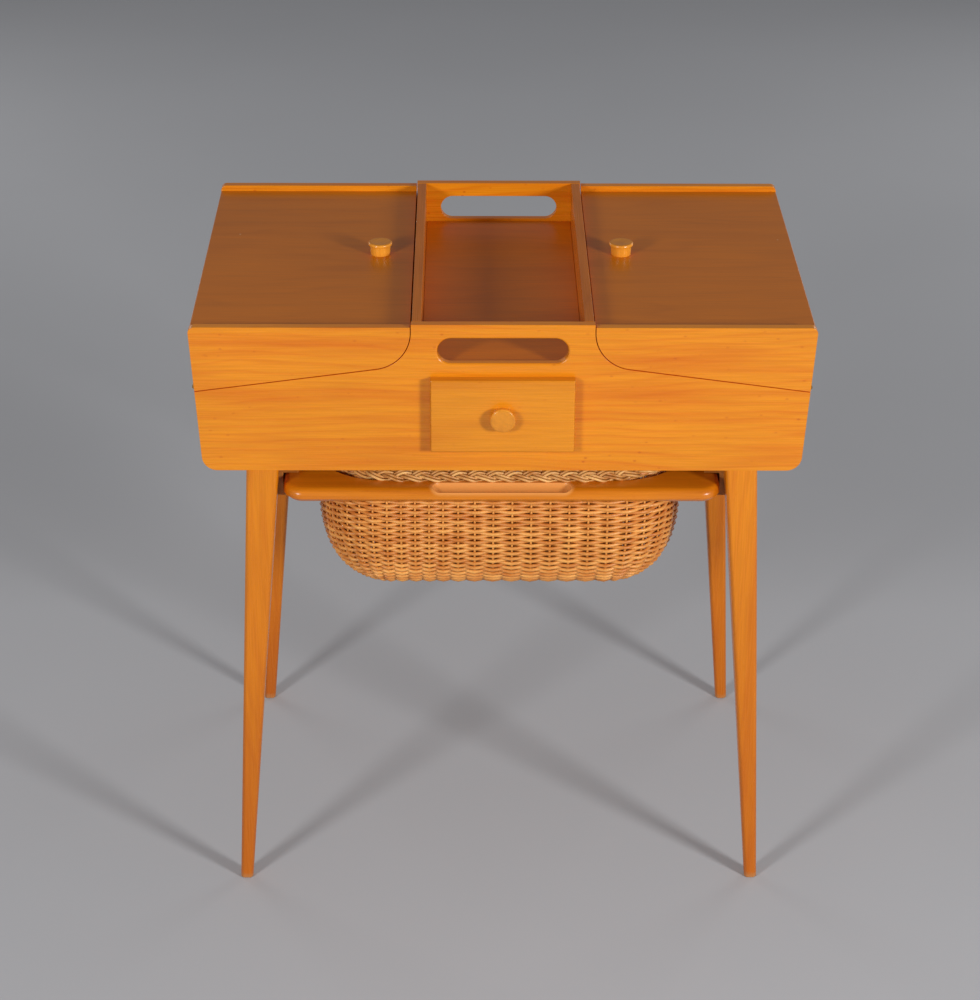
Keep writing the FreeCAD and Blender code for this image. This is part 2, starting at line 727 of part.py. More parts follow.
def finger_groove(body):
    """A long scoop with round ends in the upper edge of the front board, for the fingers."""
    scoop = new_sketch(body, "XY_Plane", cell("finger_level"))
    half = cell("finger_half_length")
    radius = cell("finger_radius")
    y = -cell("finger_y")
    straight = half - radius
    line = sketch_line(scoop, (-half, y), (half, y))
    left = Part.Circle(vector(-straight, y), FreeCAD.Vector(0, 0, 1), radius.number)
    right = Part.Circle(vector(straight, y), FreeCAD.Vector(0, 0, 1), radius.number)
    right_arc = scoop.addGeometry(Part.ArcOfCircle(right, 0, math.pi / 2), False)
    left_arc = scoop.addGeometry(Part.ArcOfCircle(left, math.pi / 2, math.pi), False)
    edge = sketch_line(scoop, (straight, y + radius), (-straight, y + radius))
    scoop.addConstraint(Sketcher.Constraint("Coincident", line, 2, right_arc, 1))
    scoop.addConstraint(Sketcher.Constraint("Tangent", right_arc, 2, edge, 1))
    scoop.addConstraint(Sketcher.Constraint("Tangent", edge, 2, left_arc, 1))
    scoop.addConstraint(Sketcher.Constraint("Coincident", left_arc, 2, line, 1))
    constrain(scoop, "DistanceX", right_arc, 3, straight)
    constrain(scoop, "DistanceY", right_arc, 3, y)
    constrain(scoop, "DistanceX", left_arc, 3, -straight)
    constrain(scoop, "DistanceY", left_arc, 3, y)
    constrain(scoop, "DistanceX", line, 2, half)
    constrain(scoop, "DistanceY", line, 2, y)
    constrain(scoop, "DistanceX", line, 1, -half)
    constrain(scoop, "DistanceY", line, 1, y)
    doc.recompute()
    before = body.Shape.Volume
    cut = body.newObject("PartDesign::Groove", body.Name + "_scoop")
    cut.Profile = scoop
    cut.ReferenceAxis = (scoop, ["Edge%d" % (line + 1)])
    cut.Angle = 360.0
    doc.recompute()
    if body.Shape.Volume > before - 1.0:
        raise RuntimeError("the finger groove cut nothing")


def sketch_line(sketch, start, end):
    return sketch.addGeometry(Part.LineSegment(vector(*start), vector(*end)), False)


def frame_side(name, side):
    """Side board of the frame. Its outer edge slides in the rail's groove."""
    body = new_body(name)
    low = cell("frame_top") - cell("frame_thickness")
    half = cell("frame_half_width")
    sketch = new_sketch(body, "XY_Plane", low)
    joint = cell("frame_joint")
    x_low, x_high = (cell("opening_half_width"), half) if side > 0 else (-half, -cell("opening_half_width"))
    rectangle(sketch, x_low, x_high, cell("basket_mid") - joint, cell("basket_mid") + joint)
    pad(body, sketch, cell("frame_thickness"))
    dress(body, "Fillet", cell("frame_nose"), along_y_at(side * half, cell("frame_top")))
    dress(body, "Chamfer", cell("frame_bevel"), along_y_at(side * half, low))


def basket_body():
    """The wicker basket as a shell: lofted through round-cornered sections, outside and inside."""
    body = new_body("basket_body", 0, cell("basket_mid"), 0)
    wall = cell("basket_wall")
    top = cell("frame_top")
    outer = []
    inner = []
    for depth, inset in BASKET_SECTIONS:
        half_x = cell("basket_half_width") - inset
        half_y = cell("basket_half_depth") - inset
        corner = cell("basket_round") - inset
        section = new_sketch(body, "XY_Plane", top - depth)
        rounded_outline(section, half_x, half_y, corner)
        outer.append(section)
        lift = wall if depth == BASKET_SECTIONS[-1][0] else 0
        hollow = new_sketch(body, "XY_Plane", top - depth + lift)
        rounded_outline(hollow, half_x - wall, half_y - wall, corner - wall)
        inner.append(hollow)
    doc.recompute()
    loft(body, "AdditiveLoft", outer)
    full = body.Shape.Volume
    loft(body, "SubtractiveLoft", inner)
    if body.Shape.Volume > full / 2:
        raise RuntimeError("the basket isn't hollow")


def loft(body, kind, sections):
    feature = body.newObject("PartDesign::" + kind, body.Name + "_" + kind.lower())
    feature.Profile = sections[0]
    feature.Sections = sections[1:]
    feature.Ruled = True
    doc.recompute()


def basket_rim():
    """The plaited rim, as the ring that it fills. It rests on the frame round the opening."""
    body = new_body("basket_rim", 0, cell("basket_mid"), 0)
    sketch = new_sketch(body, "XY_Plane", cell("frame_top"))
    half_x = cell("rim_half_width")
    half_y = cell("rim_half_depth")
    corner = cell("rim_round")
    width = cell("rim_width")
    rounded_outline(sketch, half_x, half_y, corner)
    rounded_outline(sketch, half_x - width, half_y - width, corner - width)
    pad(body, sketch, cell("rim_height"))


def basket_tray():
    front = frame_end("frame_front_rail", -1, cell("frame_front"), cell("opening_front"), "Fillet")
    finger_groove(front)
    frame_end("frame_back_rail", 1, cell("frame_back"), cell("opening_back"), "Chamfer")
    frame_side("frame_left_side", -1)
    frame_side("frame_right_side", 1)
    basket_body()
    basket_rim()


def check():
    """Stop if anything in the document failed, or if a sub-part isn't sound."""
    for thing in doc.Objects:
        if "Invalid" in thing.State or "Error" in thing.State:
            raise RuntimeError("%s failed: %s" % (thing.Name, thing.State))
    for part in parts:
        if part.Shape.isNull() or not part.Shape.isValid() or not part.Shape.Solids:
            raise RuntimeError(part.Label + " has no sound shape")


def write():
    os.makedirs("parts", exist_ok=True)
    for part in parts:
        part.Shape.exportStep("parts/%s.step" % part.Label)


case_pieces()
lids_and_hinges()
drawer_pieces()
under_case()
basket_tray()
doc.recompute()
check()
write()
print("%d sub-parts" % len(parts))
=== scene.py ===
"""A sewing table with two hinged lids, a carrying tray, a drawer and a pull-out wicker basket.

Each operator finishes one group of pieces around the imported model: boards with eased edges, turned
knobs, piano hinges with their screws, and a basket woven strand by strand with a plaited border.
"""
import json
import math

import bmesh
import bpy
import numpy as np
from bpy.props import FloatProperty, FloatVectorProperty, IntProperty, PointerProperty
from bpy.types import Operator, Panel, PropertyGroup
from mathutils import Matrix, Vector


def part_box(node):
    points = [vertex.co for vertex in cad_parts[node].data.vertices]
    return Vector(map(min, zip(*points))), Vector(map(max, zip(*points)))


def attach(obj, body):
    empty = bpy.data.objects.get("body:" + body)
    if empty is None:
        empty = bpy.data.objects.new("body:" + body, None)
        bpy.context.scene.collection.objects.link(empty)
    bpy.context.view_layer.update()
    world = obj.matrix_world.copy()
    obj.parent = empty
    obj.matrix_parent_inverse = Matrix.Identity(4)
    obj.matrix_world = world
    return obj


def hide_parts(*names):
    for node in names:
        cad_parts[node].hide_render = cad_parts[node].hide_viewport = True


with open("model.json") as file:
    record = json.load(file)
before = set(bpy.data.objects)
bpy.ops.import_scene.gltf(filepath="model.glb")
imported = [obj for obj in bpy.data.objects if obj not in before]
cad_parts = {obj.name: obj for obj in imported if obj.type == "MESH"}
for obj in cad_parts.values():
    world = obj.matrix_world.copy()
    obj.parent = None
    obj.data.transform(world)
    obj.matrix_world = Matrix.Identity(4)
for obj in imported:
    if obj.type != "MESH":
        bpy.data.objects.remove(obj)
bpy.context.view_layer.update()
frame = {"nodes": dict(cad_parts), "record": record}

bl_info = {
    "name": "Sewing Table",
    "version": (1, 0, 0),
    "blender": (4, 5, 0),
    "location": "3D View > Sidebar > Sewing Table",
    "description": "Dresses the packed sewing table with its boards, knobs, hinges and woven basket",
    "category": "Add Mesh",
}

MM = 0.001

RECORD = frame["record"]
SLOT_OF = {part["node"]: part["material_slot"] for part in RECORD["subparts"]}
BODY_OF = {node: body for body, nodes in RECORD["behaviour"]["bodies"].items() for node in nodes}


def linear(code):
    """An sRGB hex value as linear red, green and blue with full alpha."""
    channels = [int(code[start:start + 2], 16) / 255 for start in (1, 3, 5)]
    return tuple(c / 12.92 if c <= 0.04045 else ((c + 0.055) / 1.055) ** 2.4 for c in channels) + (1.0,)


def add(tree, kind, inputs=None, output=0, stops=(), **settings):
    """Adds a node with its settings, sets or links its inputs by name or number, and returns an output.

    A colour ramp also gets its stops, each a position and a grey level.
    """
    node = tree.nodes.new(kind)
    for name, value in settings.items():
        setattr(node, name, value)
    for socket, value in (inputs or {}).items():
        if isinstance(value, bpy.types.NodeSocket):
            tree.links.new(value, node.inputs[socket])
        else:
            node.inputs[socket].default_value = value
    for number, (position, level) in enumerate(stops):
        element = node.color_ramp.elements[number] if number < 2 else node.color_ramp.elements.new(position)
        element.position = position
        element.color = (level, level, level, 1.0)
    return node.outputs[output] if node.outputs else None


def new_material(name):
    """A material with an empty tree, and the object coordinates that its patterns start from."""
    material = bpy.data.materials.new(name)
    material.use_nodes = True
    tree = material.node_tree
    tree.nodes.clear()
    return material, tree, add(tree, "ShaderNodeTexCoord", output="Object")


def close_material(tree, inputs):
    """Adds the shader with its inputs, and the output."""
    add(tree, "ShaderNodeOutputMaterial", {"Surface": add(tree, "ShaderNodeBsdfPrincipled", inputs)})


def noise_at(tree, place, scales, detail=2.0):
    """Noise at a place stretched along each axis by its scale, in waves to the metre."""
    stretched = add(tree, "ShaderNodeVectorMath", {0: place, 1: scales}, operation="MULTIPLY")
    return add(tree, "ShaderNodeTexNoise", {"Vector": stretched, "Scale": 1.0, "Detail": detail}, "Fac")


def laid_over(tree, under, over, pattern, stops, blend_type="MIX"):
    """One colour over another, where a ramp makes the pattern the share of the upper one."""
    share = add(tree, "ShaderNodeValToRGB", {"Fac": pattern}, stops=stops)
    return add(tree, "ShaderNodeMix", {0: share, 6: under, 7: over}, 2,
               data_type="RGBA", blend_type=blend_type)


def toned(tree, colour, pattern, stops):
    """A colour made darker or lighter, where a ramp makes the pattern its level."""
    level = add(tree, "ShaderNodeValToRGB", {"Fac": pattern}, stops=stops)
    return add(tree, "ShaderNodeMix", {0: 1.0, 6: colour, 7: level}, 2,
               data_type="RGBA", blend_type="MULTIPLY")


# What lies before the corner rounds of the basket's frame is stretched forwards: where they lie, the
# stretch, and then the middle and half length of the scoop for the fingers.
FRAME_CORNER_Y = -165.4 * MM
FRONT_STRETCH = 1.2
SCOOP = (0.0, FRAME_CORNER_Y - 13.2 * MM * FRONT_STRETCH, 468.6 * MM)
SCOOP_REACH = 60.8 * MM

GRAIN_TURN = {"X": (0, 0, 0), "Y": (0, 0, math.pi / 2), "Z": (0, math.pi / 2, 0)}

# How far before and below the origin, across the grain, the heart of the tree lies, in metres.
HEART = (0.42, 0.55)


def lacquered_cherry(name, early, late, grain, ring=8.5, lines=0.5, flecks=0.45, specks=0.0, gloss=0.27,
                     shine=0.5, streaks=0.55, foot=None, wear_and_highlight=None):
    """Cherry, planed, sanded and sprayed with clear lacquer.

    The eye gets flowing growth lines along the grain, short fibre streaks, small dark gum flecks and a
    soft, even gloss that blurs reflections. The rings are `ring` millimetres apart.
    """
    material, tree, place = new_material(name)
    along = add(tree, "ShaderNodeMapping", {"Vector": place, "Rotation": GRAIN_TURN[grain]})
    early, late = linear(early), linear(late)

    # Growth rings about the heart, bent by slow waves 0.3 m long.
    per_metre = 1000.0 / ring
    from_heart = add(tree, "ShaderNodeVectorMath", {0: along, 1: (0.0, per_metre, per_metre),
                                                    2: (0.0, HEART[0] * per_metre, HEART[1] * per_metre)},
                     operation="MULTIPLY_ADD")
    count = add(tree, "ShaderNodeVectorMath", {0: from_heart}, "Value", operation="LENGTH")
    wave = noise_at(tree, along, (3.2, 13.0, 13.0))
    bent = add(tree, "ShaderNodeMath", {0: wave, 1: 7.0, 2: count}, operation="MULTIPLY_ADD")
    year = add(tree, "ShaderNodeMath", {0: bent}, operation="FRACT")
    late_wood = add(tree, "ShaderNodeValToRGB", {"Fac": year},
                    stops=[(0.0, 0.35), (0.12, 0.0), (0.62, 0.2), (0.9, 1.0), (1.0, 0.35)])

    # Each line comes and goes over about 110 mm.
    patch = noise_at(tree, along, (9.0, 40.0, 40.0), 1.0)
    strength = add(tree, "ShaderNodeValToRGB", {"Fac": patch}, stops=[(0.3, 0.25), (0.7, 1.0)])
    line = add(tree, "ShaderNodeMath", {0: late_wood, 1: strength}, operation="MULTIPLY")
    colour = laid_over(tree, early, late, line, [(0.0, 0.0), (1.0, lines)])

    # Fibres are 0.1 mm wide, so they are drawn about 1.6 mm wide and 60 mm long to show.
    fibre = noise_at(tree, along, (17.0, 620.0, 620.0))
    colour = toned(tree, colour, fibre, [(0.25, 0.9), (0.75, 1.06)])

    # Redder streaks about 15 mm high run 200 mm along the grain, and the tone drifts over 170 mm.
    streak = noise_at(tree, along, (5.0, 62.0, 62.0))
    colour = laid_over(tree, colour, late, streak, [(0.45, 0.0), (0.75, streaks)])
    drift = noise_at(tree, along, [6.0] * 3)
    colour = toned(tree, colour, drift, [(0.3, 0.96), (0.7, 1.05)])

    # End grain drinks more of the lacquer and turns darker. The faces of the saw cut, marked 2, are painted
    # red: painted shade inside the narrow cut.
    ends_and_cut_shade = add(tree, "ShaderNodeAttribute", output="Fac", attribute_name="end_grain_and_cut_shade")
    colour = laid_over(tree, colour, linear("#e4dabc"), ends_and_cut_shade, [(0.6, 0.0), (0.95, 1.0)], "MULTIPLY")
    painted_cut_shade = add(tree, "ShaderNodeMath", {0: ends_and_cut_shade, 1: 1.5}, operation="GREATER_THAN")
    colour = laid_over(tree, colour, linear("#e0500a"), painted_cut_shade, [(0.0, 0.0), (1.0, 1.0)])

    # Gum flecks 1 to 2 mm long, about one in every 9 cm2, some strong and some faint.
    fleck_place = add(tree, "ShaderNodeVectorMath", {0: along, 1: (58.0, 92.0, 92.0)}, operation="MULTIPLY")
    distance = add(tree, "ShaderNodeTexVoronoi", {"Vector": fleck_place, "Scale": 1.0}, "Distance")
    fleck = add(tree, "ShaderNodeValToRGB", {"Fac": distance}, stops=[(0.05, 1.0), (0.13, 0.0)])
    uneven = add(tree, "ShaderNodeMath", {0: fleck, 1: strength}, operation="MULTIPLY")
    colour = laid_over(tree, colour, linear("#b84c06"), uneven, [(0.0, 0.0), (1.0, flecks)])

    if specks:
        # Pale nicks through the lacquer, under 2 mm across and a few to a board.
        nick = add(tree, "ShaderNodeTexVoronoi", {"Vector": along, "Scale": 24.0}, "Distance")
        colour = laid_over(tree, colour, linear("#e3c7a0"), nick, [(0.018, specks), (0.026, 0.0)])

    if foot:
        # The legs darken towards the floor, and the last 5 mm are scuffed.
        height = add(tree, "ShaderNodeSeparateXYZ", {0: place}, "Z")
        colour = laid_over(tree, colour, linear(foot), height, [(0.0, 0.55), (0.46, 0.0)])
        ragged = noise_at(tree, place, [260.0] * 3)
        edge = add(tree, "ShaderNodeMath", {0: ragged, 1: 8 * MM, 2: height}, operation="MULTIPLY_ADD")
        colour = laid_over(tree, colour, linear("#b98a58"), edge, [(0.0065, 0.7), (0.009, 0.0)])

    if wear_and_highlight:
        # The scoop for the fingers, a channel with round ends 8 mm in radius, is painted paler: partly wear,
        # partly a painted highlight on its far wall, which faces the lamps.
        offset = add(tree, "ShaderNodeVectorMath", {0: place, 1: SCOOP}, operation="SUBTRACT")
        either_side = add(tree, "ShaderNodeVectorMath", {0: offset}, operation="ABSOLUTE")
        past_end = add(tree, "ShaderNodeVectorMath", {0: either_side, 1: (SCOOP_REACH, 0.0, 0.0)},
                       operation="SUBTRACT")
        nearest = add(tree, "ShaderNodeVectorMath", {0: past_end, 1: (0, 0, 0)}, operation="MAXIMUM")
        squeezed = add(tree, "ShaderNodeVectorMath", {0: nearest, 1: (1.0, 1 / FRONT_STRETCH, 1.0)},
                       operation="MULTIPLY")
        away = add(tree, "ShaderNodeVectorMath", {0: squeezed}, "Value", operation="LENGTH")
        colour = laid_over(tree, colour, linear(wear_and_highlight), away, [(0.00794, 0.75), (0.00801, 0.0)])

    relief = add(tree, "ShaderNodeMath", {0: fibre, 1: line}, operation="SUBTRACT")
    bump = add(tree, "ShaderNodeBump", {"Height": relief, "Strength": 0.12, "Distance": 0.06 * MM})
    rough = add(tree, "ShaderNodeMath", {0: fibre, 1: 0.14, 2: gloss - 0.07}, operation="MULTIPLY_ADD")
    close_material(tree, {"Base Color": colour, "Roughness": rough, "Normal": bump, "IOR": 1.5,
                          "Specular IOR Level": shine})
    return material


def varnished_willow(name, pale, dark):
    """Peeled willow rods, soaked, woven and varnished.

    Every rod has its own straw tone, 13 mm mottling, 1 mm grain and a dull shine on its crown.
    """
    material, tree, place = new_material(name)
    tone = add(tree, "ShaderNodeAttribute", output="Fac", attribute_name="tone")
    mottle = noise_at(tree, place, [75.0] * 3, 3.0)
    fine = noise_at(tree, place, [900.0] * 3, 1.0)
    both = add(tree, "ShaderNodeMath", {0: tone, 1: 0.4, 2: mottle}, operation="MULTIPLY_ADD")
    colour = laid_over(tree, linear(pale), linear(dark), both, [(0.4, 0.0), (1.0, 1.0)])
    colour = toned(tree, colour, fine, [(0.3, 0.88), (0.7, 1.05)])
    bump = add(tree, "ShaderNodeBump", {"Height": fine, "Strength": 0.3, "Distance": 0.08 * MM})
    close_material(tree, {"Base Color": colour, "Roughness": 0.42, "Normal": bump, "IOR": 1.5})
    return material


def rolled_brass(name):
    """Brass strip, rolled and left to dull.

    A warm grey-gold, with rolling marks 0.7 mm apart and 11 mm long, and browner patches of 8 mm.
    """
    material, tree, place = new_material(name)
    marks = noise_at(tree, place, (1500.0, 90.0, 1500.0))
    patch = noise_at(tree, place, [120.0] * 3, 3.0)
    colour = laid_over(tree, linear("#c2a065"), linear("#7c5a30"), patch, [(0.35, 0.0), (0.75, 1.0)])
    rough = add(tree, "ShaderNodeMath", {0: marks, 1: 0.25, 2: 0.27}, operation="MULTIPLY_ADD")
    bump = add(tree, "ShaderNodeBump", {"Height": marks, "Strength": 0.2, "Distance": 0.02 * MM})
    close_material(tree, {"Base Color": colour, "Metallic": 1.0, "Roughness": rough, "Normal": bump})
    return material


def painted_floor(name, paint):
    """A matt painted studio floor: pale, without gloss, and even but for clouds 0.6 m wide."""
    material, tree, place = new_material(name)
    cloud = noise_at(tree, place, [1.6] * 3, 3.0)
    colour = toned(tree, paint, cloud, [(0.2, 0.97), (0.8, 1.02)])
    close_material(tree, {"Base Color": colour, "Roughness": 0.9})
    return material


def millimetres(name, description, default, smallest=0.0):
    """A setting for a length, given in millimetres."""
    return FloatProperty(name=name, description=description, default=default * MM, min=smallest * MM,
                         unit="LENGTH", precision=5)


def watts(name, description, default):
    """A setting for a lamp's power in watts."""
    return FloatProperty(name=name, description=description, default=default, min=0.0, unit="POWER")


class TimberSettings(PropertyGroup):
    """How far the edges of the cherry boards are sanded round."""

    edge_radius: millimetres("Edge radius", "Radius on most edges", 0.8)
    cut_radius: millimetres("Saw cut radius", "Radius along the cut between case and lids", 0.5)
    slot_radius: millimetres("Slot radius", "Radius round the two carrying slots", 2.6)
    leg_radius: millimetres("Leg radius", "Radius along the legs' four edges", 1.4)


class WickerSettings(PropertyGroup):
    """Sizes of the woven basket."""

    rod: millimetres("Rod diameter", "Diameter of a weaving rod", 3.75, 0.5)
    swing: millimetres("Swing", "How far a weaving rod passes before or behind a stake", 2.4)
    row_height: millimetres("Row height", "Distance from one woven row to the next", 3.35, 1.0)
    stakes: IntProperty(name="Stakes", description="Upright rods round the basket, an even number",
                        default=78, min=8)
    stake: millimetres("Stake diameter", "Diameter of an upright rod", 2.2, 0.5)


class StageSettings(PropertyGroup):
    """Floor colour and lamp levels."""

    floor_colour: FloatVectorProperty(name="Floor colour", description="Paint on the floor",
                                      default=linear("#bcbdc0"), size=4, subtype="COLOR")
    right_lamp: watts("Right lamp", "Power of the lamp at the front right", 62.0)
    left_lamp: watts("Left lamp", "Power of the lamp at the front left", 40.0)
    back_lamps: watts("Back lamps", "Power of each lamp behind the table", 13.0)
    sky: FloatProperty(name="Sky level", description="Light from all round", default=0.2, min=0.0,
                       subtype="FACTOR")


# Early and late wood, and how strongly lines, flecks and nicks show, for each finish.
FINISHES = {
    "cherry_case": dict(early="#e78c12", late="#cc5a02", lines=0.42, flecks=0.65),
    "cherry_lids": dict(early="#e78c14", late="#cc5a02", lines=0.42, flecks=0.65),
    # Painted shade: the tops are the same cherry as the front, painted darker and browner because they face
    # up and take less light.
    "cherry_tops": dict(early="#d07304", late="#a95403", lines=0.2, flecks=0.25, specks=0.9, gloss=0.32,
                        shine=0.42, streaks=0.2),
    "cherry_partition": dict(early="#cf7006", late="#a65204", lines=0.3, flecks=0.3, shine=0.4),
    # Painted shade: the tray's floor is painted darker and browner in the same way.
    "cherry_tray": dict(early="#d87405", late="#b05203", lines=0.2, flecks=0.2, specks=0.9, gloss=0.34,
                        shine=0.3, streaks=0.25),
    "cherry_inside": dict(early="#cf8a40", late="#a66122", lines=0.35, flecks=0.3, gloss=0.5),
    "cherry_legs": dict(early="#e0830a", late="#c46004", ring=11.0, lines=0.25, flecks=0.2, foot="#b45004"),
    # The frame's scoop colour is partly wear and partly a painted highlight.
    "cherry_frame": dict(early="#da7c0e", late="#b85a04", lines=0.3, flecks=0.25, gloss=0.3, wear_and_highlight="#f2a85c"),
    "cherry_drawer": dict(early="#e08a16", late="#ca6c0a", lines=0.16, flecks=0.3, specks=0.4),
    "cherry_knobs": dict(early="#faa634", late="#d27e22", ring=5.0, lines=0.3, flecks=0.15, gloss=0.24),
}

# The palest and the darkest rods.
WILLOWS = {"wicker": dict(pale="#f4ad58", dark="#cd782c"), "wicker_rim": dict(pale="#ffce80", dark="#bc7a36")}

made_materials = {}


def grain_of(node):
    """The direction of the grain in a board, which runs along its length, or along a knob."""
    if node.endswith(("_leg", "_lid_knob")):
        return "Z"
    lengthways = ("end_panel", "_partition", "_runner", "_side", "drawer_knob", "left_rail", "right_rail")
    return "Y" if node.endswith(lengthways) else "X"


def finish_for(node):
    """The material of a CAD node's slot, with the grain along that node."""
    slot, grain = SLOT_OF[node], grain_of(node)
    key = f"{slot}_{grain.lower()}"
    if key not in made_materials:
        if slot == "hinge_brass":
            made_materials[key] = rolled_brass("rolled_brass")
        elif slot in ("wicker", "wicker_rim"):
            made_materials[key] = varnished_willow("varnished_" + slot, **WILLOWS[slot])
        else:
            made_materials[key] = lacquered_cherry("lacquered_" + key, grain=grain, **FINISHES[slot])
    return made_materials[key]


def linked(name, mesh, material):
    """A new object at the origin with its mesh and material, in the scene."""
    piece = bpy.data.objects.new(name, mesh)
    mesh.materials.clear()
    mesh.materials.append(material)
    bpy.context.scene.collection.objects.link(piece)
    return piece


def apply_modifiers(piece):
    """Turns a piece's modifiers into plain mesh."""
    bpy.context.view_layer.update()
    graph = bpy.context.evaluated_depsgraph_get()
    mesh = bpy.data.meshes.new_from_object(piece.evaluated_get(graph), preserve_all_data_layers=True,
                                           depsgraph=graph)
    old = piece.data
    piece.modifiers.clear()
    piece.data = mesh
    mesh.name = piece.name
    bpy.data.meshes.remove(old)


# Levels and half widths in millimetres that tell the edges apart. The saw cut between case and lids lies
# above its low end and outside its inner end. In a lid's cheek it ends at the hinge's seat, half a
# millimetre further out for each millimetre of height, or at the cheek's end.
CUT_LOW = 570.6
CUT_INNER = 87.0
SEAT_LEVEL = 571.0
SEAT_START = 260.0
CHEEK_END = 296.0
CHEEK_TOP = 637.0
TOP_ROUNDS = 637.5
LID_END = 298.0
SLOT_HALF = 66.0
SLOT_LEVELS = (599.0, 628.0)

# The round under the nose of the basket's frame, and the level in millimetres it keeps below.
NOSE_ROUND = 2.7 * MM
NOSE_LEVEL = 457.0


def mark_ends(piece, node):
    """Gives each face how squarely it cuts across the grain, or 2 in the saw cut for its painted shade."""
    axis = "XYZ".index(grain_of(node))
    values = []
    for face in piece.data.polygons:
        x, z = abs(face.center.x) / MM, face.center.z / MM
        cut_end = min(CHEEK_END, SEAT_START + 0.5 * (z - SEAT_LEVEL))
        in_lid = node.endswith("cheek") and z < CHEEK_TOP and x < cut_end
        in_case = node in ("front_panel", "back_panel") and z > CUT_LOW and x > CUT_INNER
        # Faces inside the saw cut get 2, where the finish paints shade.
        painted_cut_shade = (in_lid or in_case) and abs(face.normal.y) < 0.4
        values.append(2.0 if painted_cut_shade else abs(face.normal[axis]))
    layer = piece.data.attributes.new("end_grain_and_cut_shade", "FLOAT", "FACE")
    layer.data.foreach_set("value", values)


def stands_for(piece, node):
    """The piece rides with the node's body and shows in its place, where the node is hidden."""
    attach(piece, BODY_OF[node])
    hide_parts(node)


def sanded(place, face_angle, node):
    """The radius in metres sanded on a board's edge, from the middle of that edge in millimetres."""
    timber = bpy.context.scene.sewing_timber
    x, z = abs(place.x), place.z
    if node.endswith("_leg"):
        return timber.leg_radius
    if node.startswith("frame_"):
        # The lower outer edge is rounded until it meets the round of the upper one.
        return NOSE_ROUND if z < NOSE_LEVEL and face_angle < math.radians(60) else timber.edge_radius
    if node == "drawer_front":
        return 1.4 * timber.edge_radius
    if node.endswith(("_rail", "_side", "_runner", "_bottom")):
        return timber.edge_radius
    if "_lid_" in node:
        return timber.edge_radius if z > TOP_ROUNDS or x > LID_END else timber.cut_radius
    if x < SLOT_HALF and SLOT_LEVELS[0] < z < SLOT_LEVELS[1]:
        return timber.slot_radius
    return timber.cut_radius if z > CUT_LOW and x > CUT_INNER else timber.edge_radius


def worked(node):
    """A board as the CAD has it, with its sharp edges sanded round.

    What lies in front of the corner rounds of the basket's frame is stretched forwards.
    """
    source = frame["nodes"][node].data
    mesh = bpy.data.meshes.new(node + "_worked")
    mesh.from_pydata([v.co[:] for v in source.vertices], [], [p.vertices[:] for p in source.polygons])
    shape = bmesh.new()
    shape.from_mesh(mesh)
    bmesh.ops.remove_doubles(shape, verts=shape.verts, dist=0.01 * MM)
    bmesh.ops.dissolve_degenerate(shape, dist=0.005 * MM, edges=shape.edges)
    bmesh.ops.dissolve_limit(shape, angle_limit=math.radians(0.6), verts=shape.verts, edges=shape.edges)
    if node == "frame_front_rail":
        for corner in shape.verts:
            ahead = min(0.0, corner.co.y - FRAME_CORNER_Y)
            corner.co.y += (FRONT_STRETCH - 1.0) * ahead
    for face in shape.faces:
        face.smooth = True
    weight = shape.edges.layers.float.new("bevel_weight_edge")
    sharp = [e for e in shape.edges if e.is_manifold and e.calc_face_angle() > math.radians(28)]
    radii = [sanded((e.verts[0].co + e.verts[1].co) / (2 * MM), e.calc_face_angle(), node) for e in sharp]
    widest = max(radii)
    for edge, radius in zip(sharp, radii):
        edge[weight] = radius / widest
    shape.to_mesh(mesh)
    shape.free()
    piece = linked(node + "_worked", mesh, finish_for(node))
    bevel = piece.modifiers.new("sanded", "BEVEL")
    bevel.width = widest
    bevel.segments = 4 if node.startswith("frame_") else 3 if node.endswith("_leg") else 2
    bevel.limit_method = "WEIGHT"
    bevel.harden_normals = True
    apply_modifiers(piece)
    mark_ends(piece, node)
    stands_for(piece, node)


def turned(node, profile, axis_point, direction):
    """A knob turned on the lathe from (radius, height) pairs in millimetres, from its foot to its centre."""
    shape = bmesh.new()
    rings = [shape.verts.new((radius * MM, 0.0, height * MM)) for radius, height in profile]
    edges = [shape.edges.new(pair) for pair in zip(rings, rings[1:])]
    bmesh.ops.spin(shape, geom=rings + edges, cent=(0, 0, 0), axis=(0, 0, 1), dvec=(0, 0, 0),
                   angle=2 * math.pi, steps=56, use_merge=True)
    bmesh.ops.remove_doubles(shape, verts=shape.verts, dist=0.004 * MM)
    bmesh.ops.recalc_face_normals(shape, faces=shape.faces)
    place = Matrix.Translation(axis_point) @ direction.to_track_quat("Z", "Y").to_matrix().to_4x4()
    bmesh.ops.transform(shape, matrix=place, verts=shape.verts)
    for face in shape.faces:
        face.smooth = True
    mesh = bpy.data.meshes.new(node + "_turned")
    shape.to_mesh(mesh)
    shape.free()
    piece = linked(node + "_turned", mesh, finish_for(node))
    mark_ends(piece, node)
    stands_for(piece, node)


def socket_tree(name, inputs):
    """A geometry tree with a geometry input, the named inputs, a material input and a geometry output."""
    tree = bpy.data.node_groups.new(name, "GeometryNodeTree")
    for label, kind in {"Geometry": "Geometry", **inputs, "Material": "Material"}.items():
        tree.interface.new_socket(label, in_out="INPUT", socket_type="NodeSocket" + kind)
    tree.interface.new_socket("Geometry", in_out="OUTPUT", socket_type="NodeSocketGeometry")
    return tree, add(tree, "NodeGroupInput").node.outputs


def close_tree(tree, geometry, material):
    """Realises what the tree made, gives it its material and closes the tree."""
    real = add(tree, "GeometryNodeRealizeInstances", {0: geometry})
    dressed = add(tree, "GeometryNodeSetMaterial", {"Geometry": real, "Material": material})
    add(tree, "NodeGroupOutput", {0: dressed})


